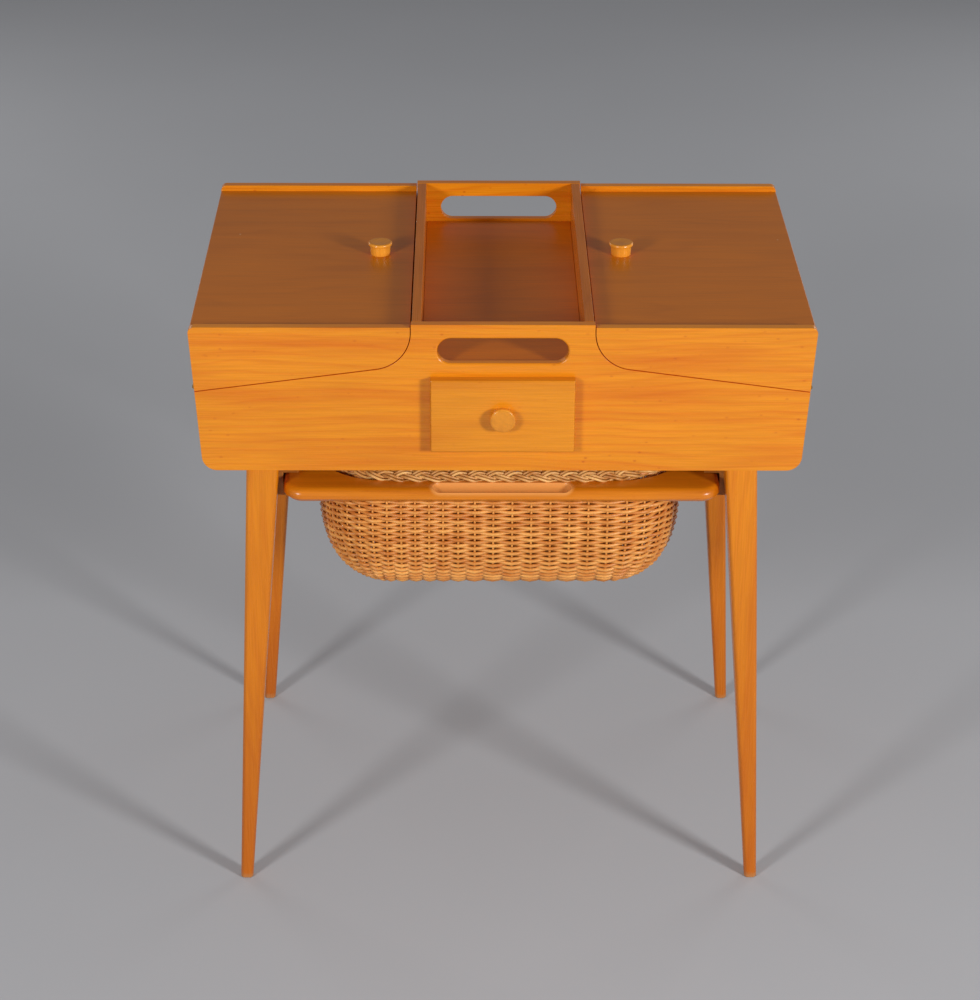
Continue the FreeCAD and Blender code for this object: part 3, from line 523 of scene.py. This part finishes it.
def close_rods(tree, curve, given):
    """Turns curves into six-sided rods of the given radius and closes the tree."""
    section = add(tree, "GeometryNodeCurvePrimitiveCircle", {"Resolution": 6, "Radius": given["Radius"]})
    solid = add(tree, "GeometryNodeCurveToMesh",
                {"Curve": curve, "Profile Curve": section, "Fill Caps": True})
    close_tree(tree, add(tree, "GeometryNodeSetShadeSmooth", {0: solid}), given["Material"])


def grown(name, mesh, tree, values, material):
    """A plain mesh piece that a geometry tree grows from a guide mesh."""
    piece = linked(name, mesh, material)
    modifier = piece.modifiers.new("grown", "NODES")
    modifier.node_group = tree
    sockets = {s.name: s.identifier for s in tree.interface.items_tree if s.in_out == "INPUT"}
    for label, value in dict(values, Material=material).items():
        modifier[sockets[label]] = value
    apply_modifiers(piece)
    return piece


def rod_tree():
    """Rods that follow a guide's edges, swung out and in along its outward vectors."""
    tree, given = socket_tree("woven rods", {"Swing": "Float", "Radius": "Float", "Steps": "Int"})
    outward = add(tree, "GeometryNodeInputNamedAttribute", {"Name": "outward"}, data_type="FLOAT_VECTOR")
    side = add(tree, "GeometryNodeInputNamedAttribute", {"Name": "side"}, data_type="FLOAT")
    reach = add(tree, "ShaderNodeMath", {0: side, 1: given["Swing"]}, operation="MULTIPLY")
    swing = add(tree, "ShaderNodeVectorMath", {0: outward, "Scale": reach}, operation="SCALE")
    moved = add(tree, "GeometryNodeSetPosition", {"Geometry": given["Geometry"], "Offset": swing})
    curve = add(tree, "GeometryNodeMeshToCurve", {0: moved})
    soft = add(tree, "GeometryNodeCurveSplineType", {"Curve": curve}, spline_type="CATMULL_ROM")
    fine = add(tree, "GeometryNodeSetSplineResolution", {0: soft, "Resolution": given["Steps"]})
    close_rods(tree, fine, given)
    return tree


def guide(name, lines):
    """A wire mesh from (points, closed) lines, where a point is (place, outward, side, tone)."""
    places, outwards, sides, tones = zip(*(point for points, _ in lines for point in points))
    edges, first = [], 0
    for points, closed in lines:
        last = first + len(points) - 1
        edges += [(i, i + 1) for i in range(first, last)]
        if closed:
            edges.append((last, first))
        first = last + 1
    mesh = bpy.data.meshes.new(name)
    mesh.from_pydata(places, edges, [])
    for label, kind, field, values in (("outward", "FLOAT_VECTOR", "vector", outwards),
                                       ("side", "FLOAT", "value", sides), ("tone", "FLOAT", "value", tones)):
        layer = mesh.attributes.new(label, kind, "POINT")
        layer.data.foreach_set(field, np.array(values, np.float32).ravel())
    return mesh


# The basket's outer form: half width and height in millimetres, from under the border to the base.
WALL = [(179, 470), (180.4, 452), (182.6, 438), (183.8, 425), (184, 412), (183.4, 401),
        (182.2, 391), (180.4, 382), (178, 373), (175.2, 365), (171.8, 357.5), (167.6, 350.5),
        (162.6, 344), (156.6, 338.3), (149.4, 333.3), (141.2, 329), (132, 325.2), (122.2, 322.2),
        (113, 320.4)]
WALL_POINTS = 600
WALL_SMOOTHINGS = 160

# Half the distance between the centres of the corner rounds, across and in depth. Every row keeps them.
CORNERS = (108.0, 96.5)
TOP_ROUND = 69.0
BASKET_MIDDLE = 4.6
CASE_MIDDLE = 10.6

# The basket hangs a little to the left in its frame.
BASKET_SHIFT = -1.0

# Spacing of the stakes in millimetres, by the distance along the rim from the middle of the front, and the
# distance of the first of them.
SPACING = [(-626, 15.5), (-400, 14.0), (-60, 13.8), (-12, 18.7), (250, 19.0), (450, 17.0), (626, 15.5)]
FIRST_STAKE = -7.1
RIM_SAMPLES = 4000

# How far out of the corners' centres, in millimetres, rods swing in full and odd and even stakes begin.
FULL_SWING_REACH = 26
ODD_STAKE_REACH = 24
EVEN_STAKE_REACH = 9

# The base's sticks: the distance between two, and how many lie on each side of the middle one.
STICK_GAP = 18.8
STICKS = 5


def basket_place(x, y, height):
    """A point in metres, from millimetres off the basket's own middle."""
    return ((x + BASKET_SHIFT) * MM, (y + BASKET_MIDDLE) * MM, height * MM)


def sampled(line, count_for):
    """A line's points at even distances, as many as `count_for` gives for its length."""
    run = np.concatenate([[0], np.cumsum(np.hypot(*np.diff(line[:, :2], axis=0).T))])
    at = np.linspace(0, run[-1], count_for(run[-1]))
    return np.column_stack([np.interp(at, run, column) for column in line.T])


def wall_rows(spacing, depth):
    """(half width, height, outward x, outward z) of each woven row, its centre `depth` below the surface."""
    fine = sampled(np.array(WALL), lambda total: WALL_POINTS)
    for _ in range(WALL_SMOOTHINGS):
        fine[1:-1] = (fine[:-2] + 2 * fine[1:-1] + fine[2:]) / 4
    step = np.gradient(fine, axis=0)
    step /= np.hypot(*step.T)[:, None]
    outward = np.column_stack([-step[:, 1], step[:, 0]])
    centre = fine - depth * outward
    return sampled(np.column_stack([centre, outward]), lambda total: int(total / spacing) + 1)


def stake_places(count):
    """For each stake, the point of the inner rectangle it stands out from, and its outward direction."""
    marks, gaps = np.array(SPACING).T
    along = np.linspace(marks[0], marks[-1], RIM_SAMPLES)
    passed = np.cumsum(1 / np.interp(along, marks, gaps))
    passed *= count / passed[-1]
    first = np.interp(FIRST_STAKE, along, passed)
    found = []
    quarter = TOP_ROUND * math.pi / 2
    sides = []
    for length in (CORNERS[0], 2 * CORNERS[1], 2 * CORNERS[0], 2 * CORNERS[1], CORNERS[0]):
        sides += [(length, False), (quarter, True)]
    whole = sum(length for length, _ in sides[:-1])
    for k in range(count):
        rest = np.interp((first + k) % count, passed, along) / (marks[-1] - marks[0]) * whole % whole
        point, turn = Vector((0.0, -CORNERS[1])), 0.0
        for length, bends in sides:
            part = min(rest, length)
            if bends:
                turn += part / TOP_ROUND
            else:
                point += Vector((math.cos(turn), math.sin(turn))) * part
            rest -= part
            if rest <= 0:
                break
        found.append((point, Vector((math.sin(turn), -math.cos(turn)))))
    return found


def rod_tones(chance, count):
    """The tone at each of a row's stakes: one value for each rod, which is 15 to 40 stakes long."""
    tones = []
    while len(tones) < count:
        tones += [float(chance.random())] * int(chance.integers(15, 40))
    return tones[:count]


def basket_guides(spacing, count, depth):
    """Guide meshes for the wall's weavers, the base's weavers and the stakes."""
    rows = wall_rows(spacing, depth)
    places = stake_places(count)
    chance = np.random.default_rng(7)
    weavers, stakes = [], [[] for _ in places]
    for j, (half_x, height, flat, down) in enumerate(rows):
        reach = half_x - CORNERS[0]
        tones = rod_tones(chance, count)
        ring = []
        for k, (point, out) in enumerate(places):
            place = basket_place(*(point + out * reach), height)
            outward = (out.x * flat, out.y * flat, 0.8 * down)
            # Low in the corners the stakes crowd together, and the rods run almost straight.
            cornered = min(abs(out.x), abs(out.y)) > 0.01
            swing = min(1.0, reach / FULL_SWING_REACH) if cornered else 1.0
            ring.append((place, outward, swing if (j + k) % 2 else -swing, tones[k]))
            crowded = cornered and reach < (ODD_STAKE_REACH if k % 2 else EVEN_STAKE_REACH)
            # A stake needs a point in every third row only.
            if (j % 3 == 0 or j == len(rows) - 1) and not crowded:
                stakes[k].append((place, outward, 0.0, 0.0))
        weavers.append((ring, True))

    half_x, height = rows[-1][:2]
    half_y = half_x - CORNERS[0] + CORNERS[1]
    under = (0.0, 0.0, -1.0)
    base = []
    for j in range(-int(half_y / spacing), int(half_y / spacing) + 1):
        tone = float(chance.random())
        line = [(i * STICK_GAP, 1.0 if (i + j) % 2 else -1.0) for i in range(-STICKS, STICKS + 1)]
        line = [(-half_x, 0.0)] + line + [(half_x, 0.0)]
        base.append(([(basket_place(x, j * spacing, height), under, side, tone) for x, side in line], False))
    for i in range(-STICKS, STICKS + 1):
        stakes.append([(basket_place(i * STICK_GAP, part * half_y, height), under, 0.0, 0.0)
                       for part in (-1, -0.3, 0.3, 1)])
    stakes = [(points, False) for points in stakes]
    return guide("weaver_guide", weavers), guide("base_guide", base), guide("stake_guide", stakes)


# The plait's strands, and the rods in each.
STRANDS, RODS = 3, 2


def plait_tree():
    """A plait along a closed guide, leant outwards, its strands each of some rods side by side."""
    tree, given = socket_tree("plaited border", {
        "Repeats": "Int", "Width": "Float", "Rise": "Float", "Spread": "Float", "Radius": "Float",
        "Points": "Int", "Lean": "Float", "Seed": "Int"})
    curve = add(tree, "GeometryNodeMeshToCurve", {0: given["Geometry"]})
    even = add(tree, "GeometryNodeResampleCurve", {"Curve": curve, "Count": given["Points"]})
    copies = add(tree, "GeometryNodeDuplicateElements", {"Geometry": even, "Amount": STRANDS * RODS},
                 domain="SPLINE")
    number = copies.node.outputs["Duplicate Index"]
    share = add(tree, "ShaderNodeMath", {0: number, 1: RODS}, operation="DIVIDE")
    strand = add(tree, "ShaderNodeMath", {0: share}, operation="FLOOR")
    rod = add(tree, "ShaderNodeMath", {0: number, 1: RODS}, operation="MODULO")

    # Each strand sways from side to side, and rises and sinks twice in that time.
    along = add(tree, "GeometryNodeSplineParameter")
    laps = add(tree, "ShaderNodeMath", {0: given["Repeats"], 1: 2 * math.pi}, operation="MULTIPLY")
    phase = add(tree, "ShaderNodeMath", {0: strand, 1: 2 * math.pi / STRANDS}, operation="MULTIPLY")
    angle = add(tree, "ShaderNodeMath", {0: along, 1: laps, 2: phase}, operation="MULTIPLY_ADD")
    sway = add(tree, "ShaderNodeMath", {0: angle}, operation="SINE")
    double = add(tree, "ShaderNodeMath", {0: angle, 1: 2.0}, operation="MULTIPLY")
    lift = add(tree, "ShaderNodeMath", {0: double}, operation="SINE")

    # Its rods lie side by side.
    from_middle = add(tree, "ShaderNodeMath", {0: rod, 1: (RODS - 1) / 2}, operation="SUBTRACT")
    beside = add(tree, "ShaderNodeMath", {0: from_middle, 1: given["Spread"]}, operation="MULTIPLY")
    sideways = add(tree, "ShaderNodeMath", {0: sway, 1: given["Width"], 2: beside}, operation="MULTIPLY_ADD")
    upward = add(tree, "ShaderNodeMath", {0: lift, 1: given["Rise"]}, operation="MULTIPLY")

    # The whole section leans outwards.
    flat = add(tree, "ShaderNodeCombineXYZ", {"X": sideways, "Y": upward})
    leant = add(tree, "ShaderNodeVectorRotate", {"Vector": flat, "Angle": given["Lean"]},
                rotation_type="Z_AXIS")
    part = add(tree, "ShaderNodeSeparateXYZ", {0: leant}).node.outputs
    outward = add(tree, "GeometryNodeInputNamedAttribute", {"Name": "outward"}, data_type="FLOAT_VECTOR")
    up = add(tree, "ShaderNodeCombineXYZ", {"Z": part["Y"]})
    offset = add(tree, "ShaderNodeVectorMath", {0: outward, 1: part["X"], 2: up}, operation="MULTIPLY_ADD")
    moved = add(tree, "GeometryNodeSetPosition", {"Geometry": copies, "Offset": offset})
    chance = add(tree, "FunctionNodeRandomValue", {"Seed": given["Seed"], "ID": number}, 1, data_type="FLOAT")
    rods = add(tree, "GeometryNodeStoreNamedAttribute", {"Geometry": moved, "Name": "tone", "Value": chance},
               data_type="FLOAT", domain="POINT")
    close_rods(tree, rods, given)
    return tree


def rounded_loop(half_x, half_y, corner, height, steps=16):
    """Points of a rounded rectangle in plan and their outward directions, in metres."""
    loop = []
    for quarter, (sx, sy) in enumerate(((1, 1), (-1, 1), (-1, -1), (1, -1))):
        for step in range(steps + 1):
            turn = (quarter + step / steps) * math.pi / 2
            out = (math.cos(turn), math.sin(turn), 0.0)
            x = sx * (half_x - corner) + corner * out[0]
            y = sy * (half_y - corner) + corner * out[1]
            loop.append((basket_place(x, y, height), out, 0.0, 0.5))
    return loop


def row_of_points(tree, count, start, pitch):
    """A row of points from a start towards the back."""
    step = add(tree, "ShaderNodeCombineXYZ", {"Y": pitch})
    return add(tree, "GeometryNodeMeshLine", {"Count": count, "Start Location": start, "Offset": step})


# A screw head's height.
HEAD_HEIGHT = 0.5 * MM


def hinge_tree():
    """A leaf of a piano hinge: its strip, a row of knuckles with their tabs, and slotted screws."""
    tree, given = socket_tree("piano hinge leaf", {
        "Knuckles": "Int", "First knuckle": "Vector", "Pitch": "Float", "Knuckle length": "Float",
        "Knuckle radius": "Float", "Tab offset": "Vector", "Tab size": "Vector", "Screws": "Int",
        "First screw": "Vector", "Screw pitch": "Float", "Head radius": "Float", "Slot size": "Vector",
        "Seed": "Int"})
    centres = row_of_points(tree, given["Knuckles"], given["First knuckle"], given["Pitch"])
    knuckle = add(tree, "GeometryNodeMeshCylinder", {"Vertices": 16, "Radius": given["Knuckle radius"],
                                                     "Depth": given["Knuckle length"]})
    rolled = add(tree, "GeometryNodeSetShadeSmooth", {0: knuckle, "Selection": knuckle.node.outputs["Side"]})
    knuckles = add(tree, "GeometryNodeInstanceOnPoints", {"Points": centres, "Instance": rolled,
                                                          "Rotation": (math.pi / 2, 0, 0)})
    beside = add(tree, "GeometryNodeSetPosition", {"Geometry": centres, "Offset": given["Tab offset"]})
    tab = add(tree, "GeometryNodeMeshCube", {"Size": given["Tab size"]})
    tabs = add(tree, "GeometryNodeInstanceOnPoints", {"Points": beside, "Instance": tab})

    # Each screw's head is slotted on both faces, so that one tree serves both leaves.
    screw = add(tree, "GeometryNodeMeshCylinder", {"Vertices": 20, "Radius": given["Head radius"],
                                                   "Depth": HEAD_HEIGHT})
    slot = add(tree, "GeometryNodeMeshCube", {"Size": given["Slot size"]})
    for height in (HEAD_HEIGHT / 2, -HEAD_HEIGHT / 2):
        cutter = add(tree, "GeometryNodeTransform", {0: slot, "Translation": (0, 0, height)})
        screw = add(tree, "GeometryNodeMeshBoolean", {"Mesh 1": screw, "Mesh 2": cutter},
                    operation="DIFFERENCE")
    spin = add(tree, "FunctionNodeRandomValue", {"Min": (0, 0, 0), "Max": (0, 0, math.pi),
                                                 "Seed": given["Seed"]}, data_type="FLOAT_VECTOR")
    heads = row_of_points(tree, given["Screws"], given["First screw"], given["Screw pitch"])
    screws = add(tree, "GeometryNodeInstanceOnPoints", {"Points": heads, "Instance": screw, "Rotation": spin})
    join = add(tree, "GeometryNodeJoinGeometry")
    for part in (given["Geometry"], knuckles, tabs, screws):
        tree.links.new(part, join.node.inputs[0])
    close_tree(tree, join, given["Material"])
    return tree


def plate(name, low, high):
    """A box mesh between two corners in metres, its edges taken off by 0.1 mm."""
    shape = bmesh.new()
    bmesh.ops.create_cube(shape, size=1.0)
    size = Vector(high) - Vector(low)
    place = Matrix.Translation((Vector(low) + Vector(high)) / 2) @ Matrix.Diagonal((*size, 1.0))
    bmesh.ops.transform(shape, matrix=place, verts=shape.verts)
    bmesh.ops.bevel(shape, geom=shape.edges[:], offset=0.1 * MM, segments=1, affect="EDGES")
    mesh = bpy.data.meshes.new(name)
    shape.to_mesh(mesh)
    shape.free()
    return mesh


class BoardWork:
    """What the operators that only work boards share: they list their `boards`."""

    def execute(self, context):
        for node in self.boards:
            worked(node)
        return {"FINISHED"}


class SEWINGTABLE_OT_boards(BoardWork, Operator):
    """Finish the case's boards, the tray and the carrying slots"""

    bl_idname = "sewingtable.boards"
    bl_label = "Boards of the case"
    boards = ("front_panel", "back_panel", "left_end_panel", "right_end_panel", "bottom_panel",
              "left_partition", "right_partition", "tray_floor", "left_drawer_runner", "right_drawer_runner")


class SEWINGTABLE_OT_lids(BoardWork, Operator):
    """Finish the two hinged lids"""

    bl_idname = "sewingtable.lids"
    bl_label = "Lids"
    boards = [f"{side}_lid_{part}" for side in ("left", "right")
              for part in ("panel", "front_cheek", "back_cheek", "end_panel")]


class SEWINGTABLE_OT_drawer(BoardWork, Operator):
    """Finish the drawer's front and box"""

    bl_idname = "sewingtable.drawer"
    bl_label = "Drawer"
    boards = ("drawer_front", "drawer_left_side", "drawer_right_side", "drawer_back", "drawer_bottom")


class SEWINGTABLE_OT_knobs(Operator):
    """Turn the three knobs"""

    bl_idname = "sewingtable.knobs"
    bl_label = "Knobs"

    def execute(self, context):
        for node in ("left_lid_knob", "right_lid_knob", "drawer_knob"):
            direction = Vector((0, -1, 0) if node == "drawer_knob" else (0, 0, 1))
            low, high = (Vector(corner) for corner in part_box(node))
            height = abs((high - low).dot(direction))
            foot = (low + high - direction * height) / 2
            # The neck ends and the cap begins 3.4 mm below the crown.
            cap = height / MM - 3.4
            profile = [(0, 0), (9.6, 0), (9.9, 0.1), (10.0, 0.3), (10.2, 0.5 * cap), (10.45, cap - 0.5),
                       (10.55, cap - 0.15), (10.8, cap - 0.02), (11.5, cap + 0.05), (11.9, cap + 0.3),
                       (12.08, cap + 0.8), (12.1, cap + 1.6), (12.0, cap + 2.2), (11.7, cap + 2.8),
                       (11.2, cap + 3.2), (10.6, cap + 3.38), (9.6, cap + 3.4), (7.0, cap + 3.25),
                       (3.0, cap + 3.1), (0, cap + 3.05)]
            turned(node, profile, foot, direction)
        return {"FINISHED"}


class SEWINGTABLE_OT_legs(BoardWork, Operator):
    """Finish the legs and the rails that carry the basket's frame"""

    bl_idname = "sewingtable.legs"
    bl_label = "Legs and rails"
    boards = ("front_left_leg", "front_right_leg", "back_left_leg", "back_right_leg", "left_rail",
              "right_rail")


class SEWINGTABLE_OT_basket_frame(BoardWork, Operator):
    """Finish the frame that carries the basket"""

    bl_idname = "sewingtable.basket_frame"
    bl_label = "Basket frame"
    boards = ("frame_front_rail", "frame_back_rail", "frame_left_side", "frame_right_side")


class SEWINGTABLE_OT_basket(Operator):
    """Weave the basket's wall and base"""

    bl_idname = "sewingtable.basket"
    bl_label = "Woven basket"

    def execute(self, context):
        wicker = context.scene.sewing_wicker
        if wicker.stakes % 2:
            raise ValueError("the weave closes only with an even number of stakes")
        material = finish_for("basket_body")
        depth = (wicker.swing + wicker.rod / 2) / MM
        wall_guide, base_guide, stake_guide = basket_guides(wicker.row_height / MM, wicker.stakes, depth)
        tree = rod_tree()
        rods = {"Swing": wicker.swing, "Radius": wicker.rod / 2, "Steps": 3}
        weavers = grown("basket_weavers", wall_guide, tree, rods, material)
        stands_for(weavers, "basket_body")
        base = grown("basket_base", base_guide, tree, rods, material)
        stakes = grown("basket_stakes", stake_guide, tree,
                       {"Swing": 0.0, "Radius": wicker.stake / 2, "Steps": 2}, material)
        for piece in (base, stakes):
            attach(piece, "basket_tray")
        return {"FINISHED"}


class SEWINGTABLE_OT_border(Operator):
    """Plait the basket's border"""

    bl_idname = "sewingtable.border"
    bl_label = "Plaited border"

    def execute(self, context):
        loop = rounded_loop(half_x=181.0, half_y=170.3, corner=88.0, height=470.7)
        mesh = guide("border_guide", [(loop, True)])
        border = grown("basket_border", mesh, plait_tree(),
                       {"Repeats": 23, "Width": 4.3 * MM, "Rise": 2.9 * MM, "Spread": 3.2 * MM,
                        "Radius": 1.4 * MM, "Points": 460, "Lean": math.radians(-45), "Seed": 3},
                       finish_for("basket_rim"))
        stands_for(border, "basket_rim")
        return {"FINISHED"}


class SEWINGTABLE_OT_hinges(Operator):
    """Build the piano hinges: strips, knuckles, pins and screws"""

    bl_idname = "sewingtable.hinges"
    bl_label = "Piano hinges"

    def execute(self, context):
        tree = hinge_tree()
        # Sizes in millimetres: the leaf's half depth, inner and outer edge, the pin and the knuckles on it.
        half, inner, outer = 188.4, 287.6, 294.9
        pin_x, pin_z = 297.2, 571.5
        pitch, knuckle, radius = 12.56, 12.2, 1.75
        # A tab, its middle that far inside the pin, joins each knuckle to its leaf.
        tab_width, tab_shift, thick = 1.6, 1.9, 0.8
        # A screw's head stands proud of the leaf, and the lid's screws lie between those of the case.
        screw_x, screw_y, screw_shift, screw_pitch, proud = 290.8, CASE_MIDDLE - 150, 30, 90, 0.12
        for side, sign in (("left", -1), ("right", 1)):
            for leaf, low, first in (("case", 570.55, 0), ("lid", 571.65, 1)):
                node = f"{side}_hinge_{leaf}_leaf"
                ends = sorted((sign * inner * MM, sign * outer * MM))
                mesh = plate(node, (ends[0], (CASE_MIDDLE - half) * MM, low * MM),
                             (ends[1], (CASE_MIDDLE + half) * MM, (low + thick) * MM))
                start = CASE_MIDDLE - half + pitch * (first + 0.5)
                above = proud - HEAD_HEIGHT / 2 / MM
                head = low + thick + above if leaf == "case" else low - above
                values = {"Knuckles": 15, "First knuckle": (sign * pin_x * MM, start * MM, pin_z * MM),
                          "Pitch": 2 * pitch * MM, "Knuckle length": knuckle * MM,
                          "Knuckle radius": radius * MM,
                          "Tab offset": (-sign * tab_shift * MM, 0.0, (low + thick / 2 - pin_z) * MM),
                          "Tab size": (tab_width * MM, knuckle * MM, thick * MM), "Screws": 4,
                          "First screw": (sign * screw_x * MM, (screw_y + screw_shift * first) * MM,
                                          head * MM),
                          "Screw pitch": screw_pitch * MM, "Head radius": 2.5 * MM,
                          "Slot size": (6 * MM, 0.6 * MM, 0.36 * MM), "Seed": 11 + first}
                stands_for(grown(node + "_worked", mesh, tree, values, finish_for(node)), node)
            pin = frame["nodes"][f"{side}_hinge_pin"].data
            pin.materials.clear()
            pin.materials.append(finish_for(f"{side}_hinge_pin"))
        return {"FINISHED"}


class SEWINGTABLE_OT_stage(Operator):
    """Set the floor, the lamps and the camera"""

    bl_idname = "sewingtable.stage"
    bl_label = "Floor, lamps and camera"

    def execute(self, context):
        scene = context.scene
        stage = scene.sewing_stage
        floor_mesh = bpy.data.meshes.new("floor")
        reach = 16.0
        corners = [(-reach, -reach, 0), (reach, -reach, 0), (reach, reach, 0), (-reach, reach, 0)]
        floor_mesh.from_pydata(corners, [], [(0, 1, 2, 3)])
        floor = linked("floor", floor_mesh, painted_floor("matt_floor_paint", tuple(stage.floor_colour)))

        # (name, azimuth from the front, height above the horizon, side, power)
        lamps = (("lamp_right", 43.5, 16.0, 0.55, stage.right_lamp),
                 ("lamp_left", -36.5, 19.0, 0.55, stage.left_lamp),
                 ("lamp_back_right", 136.0, 14.0, 1.6, stage.back_lamps),
                 ("lamp_back_left", -136.0, 14.0, 1.6, stage.back_lamps))
        aim, distance = Vector((0.0, 0.0, 0.45)), 3.2
        for name, azimuth, height, side, power in lamps:
            a, e = math.radians(azimuth), math.radians(height)
            towards = Vector((math.sin(a) * math.cos(e), -math.cos(a) * math.cos(e), math.sin(e)))
            light = bpy.data.lights.new(name, "AREA")
            light.shape = "DISK"
            light.size = side
            light.energy = power
            lamp = bpy.data.objects.new(name, light)
            lamp.location = aim + towards * distance
            lamp.rotation_euler = (-towards).to_track_quat("-Z", "Y").to_euler()
            scene.collection.objects.link(lamp)

        scene.world = bpy.data.worlds.new("studio")
        scene.world.use_nodes = True
        tree = scene.world.node_tree
        tree.nodes.clear()
        sky = add(tree, "ShaderNodeBackground", {"Color": linear("#fbfbff"), "Strength": stage.sky})
        add(tree, "ShaderNodeOutputWorld", {0: sky})
        scene.view_settings.view_transform = "Standard"

        # The photograph's view: the camera's pitch, turn and roll in radians, its place and its lens.
        pitch, turn, roll = 0.471239, 0.0101039, 0.0052223
        data = bpy.data.cameras.new("camera")
        data.sensor_width = 36.0
        data.lens = 94.97
        data.clip_start, data.clip_end = 0.1, 60.0
        camera = bpy.data.objects.new("camera", data)
        camera.matrix_world = (Matrix.Translation((-0.03493, -2.49112, 1.62871))
                               @ Matrix.Rotation(-turn, 4, "Z")
                               @ Matrix.Rotation(math.pi / 2 - pitch, 4, "X")
                               @ Matrix.Rotation(roll, 4, "Z"))
        scene.collection.objects.link(camera)
        scene.camera = camera
        return {"FINISHED"}


class SEWINGTABLE_PT_panel(Panel):
    """Lists the operators and settings of the sewing table"""

    bl_idname = "SEWINGTABLE_PT_panel"
    bl_label = "Sewing Table"
    bl_space_type = "VIEW_3D"
    bl_region_type = "UI"
    bl_category = "Sewing Table"

    def draw(self, context):
        for operator in OPERATORS:
            self.layout.operator(operator.bl_idname)
        for label in SETTINGS:
            group = getattr(context.scene, label)
            box = self.layout.box()
            for name in group.__annotations__:
                box.prop(group, name)


SETTINGS = {"sewing_timber": TimberSettings, "sewing_wicker": WickerSettings, "sewing_stage": StageSettings}
OPERATORS = (SEWINGTABLE_OT_boards, SEWINGTABLE_OT_lids, SEWINGTABLE_OT_drawer, SEWINGTABLE_OT_knobs,
             SEWINGTABLE_OT_legs, SEWINGTABLE_OT_basket_frame, SEWINGTABLE_OT_basket, SEWINGTABLE_OT_border,
             SEWINGTABLE_OT_hinges, SEWINGTABLE_OT_stage)
CLASSES = (*SETTINGS.values(), *OPERATORS, SEWINGTABLE_PT_panel)


def register():
    for cls in CLASSES:
        bpy.utils.register_class(cls)
    for name, group in SETTINGS.items():
        setattr(bpy.types.Scene, name, PointerProperty(type=group))


def unregister():
    for name in SETTINGS:
        delattr(bpy.types.Scene, name)
    for cls in reversed(CLASSES):
        bpy.utils.unregister_class(cls)


def main():
    """Builds every piece and the stage."""
    register()
    for operator in OPERATORS:
        group, name = operator.bl_idname.split(".")
        getattr(getattr(bpy.ops, group), name)()


if __name__ == "__main__":
    main()
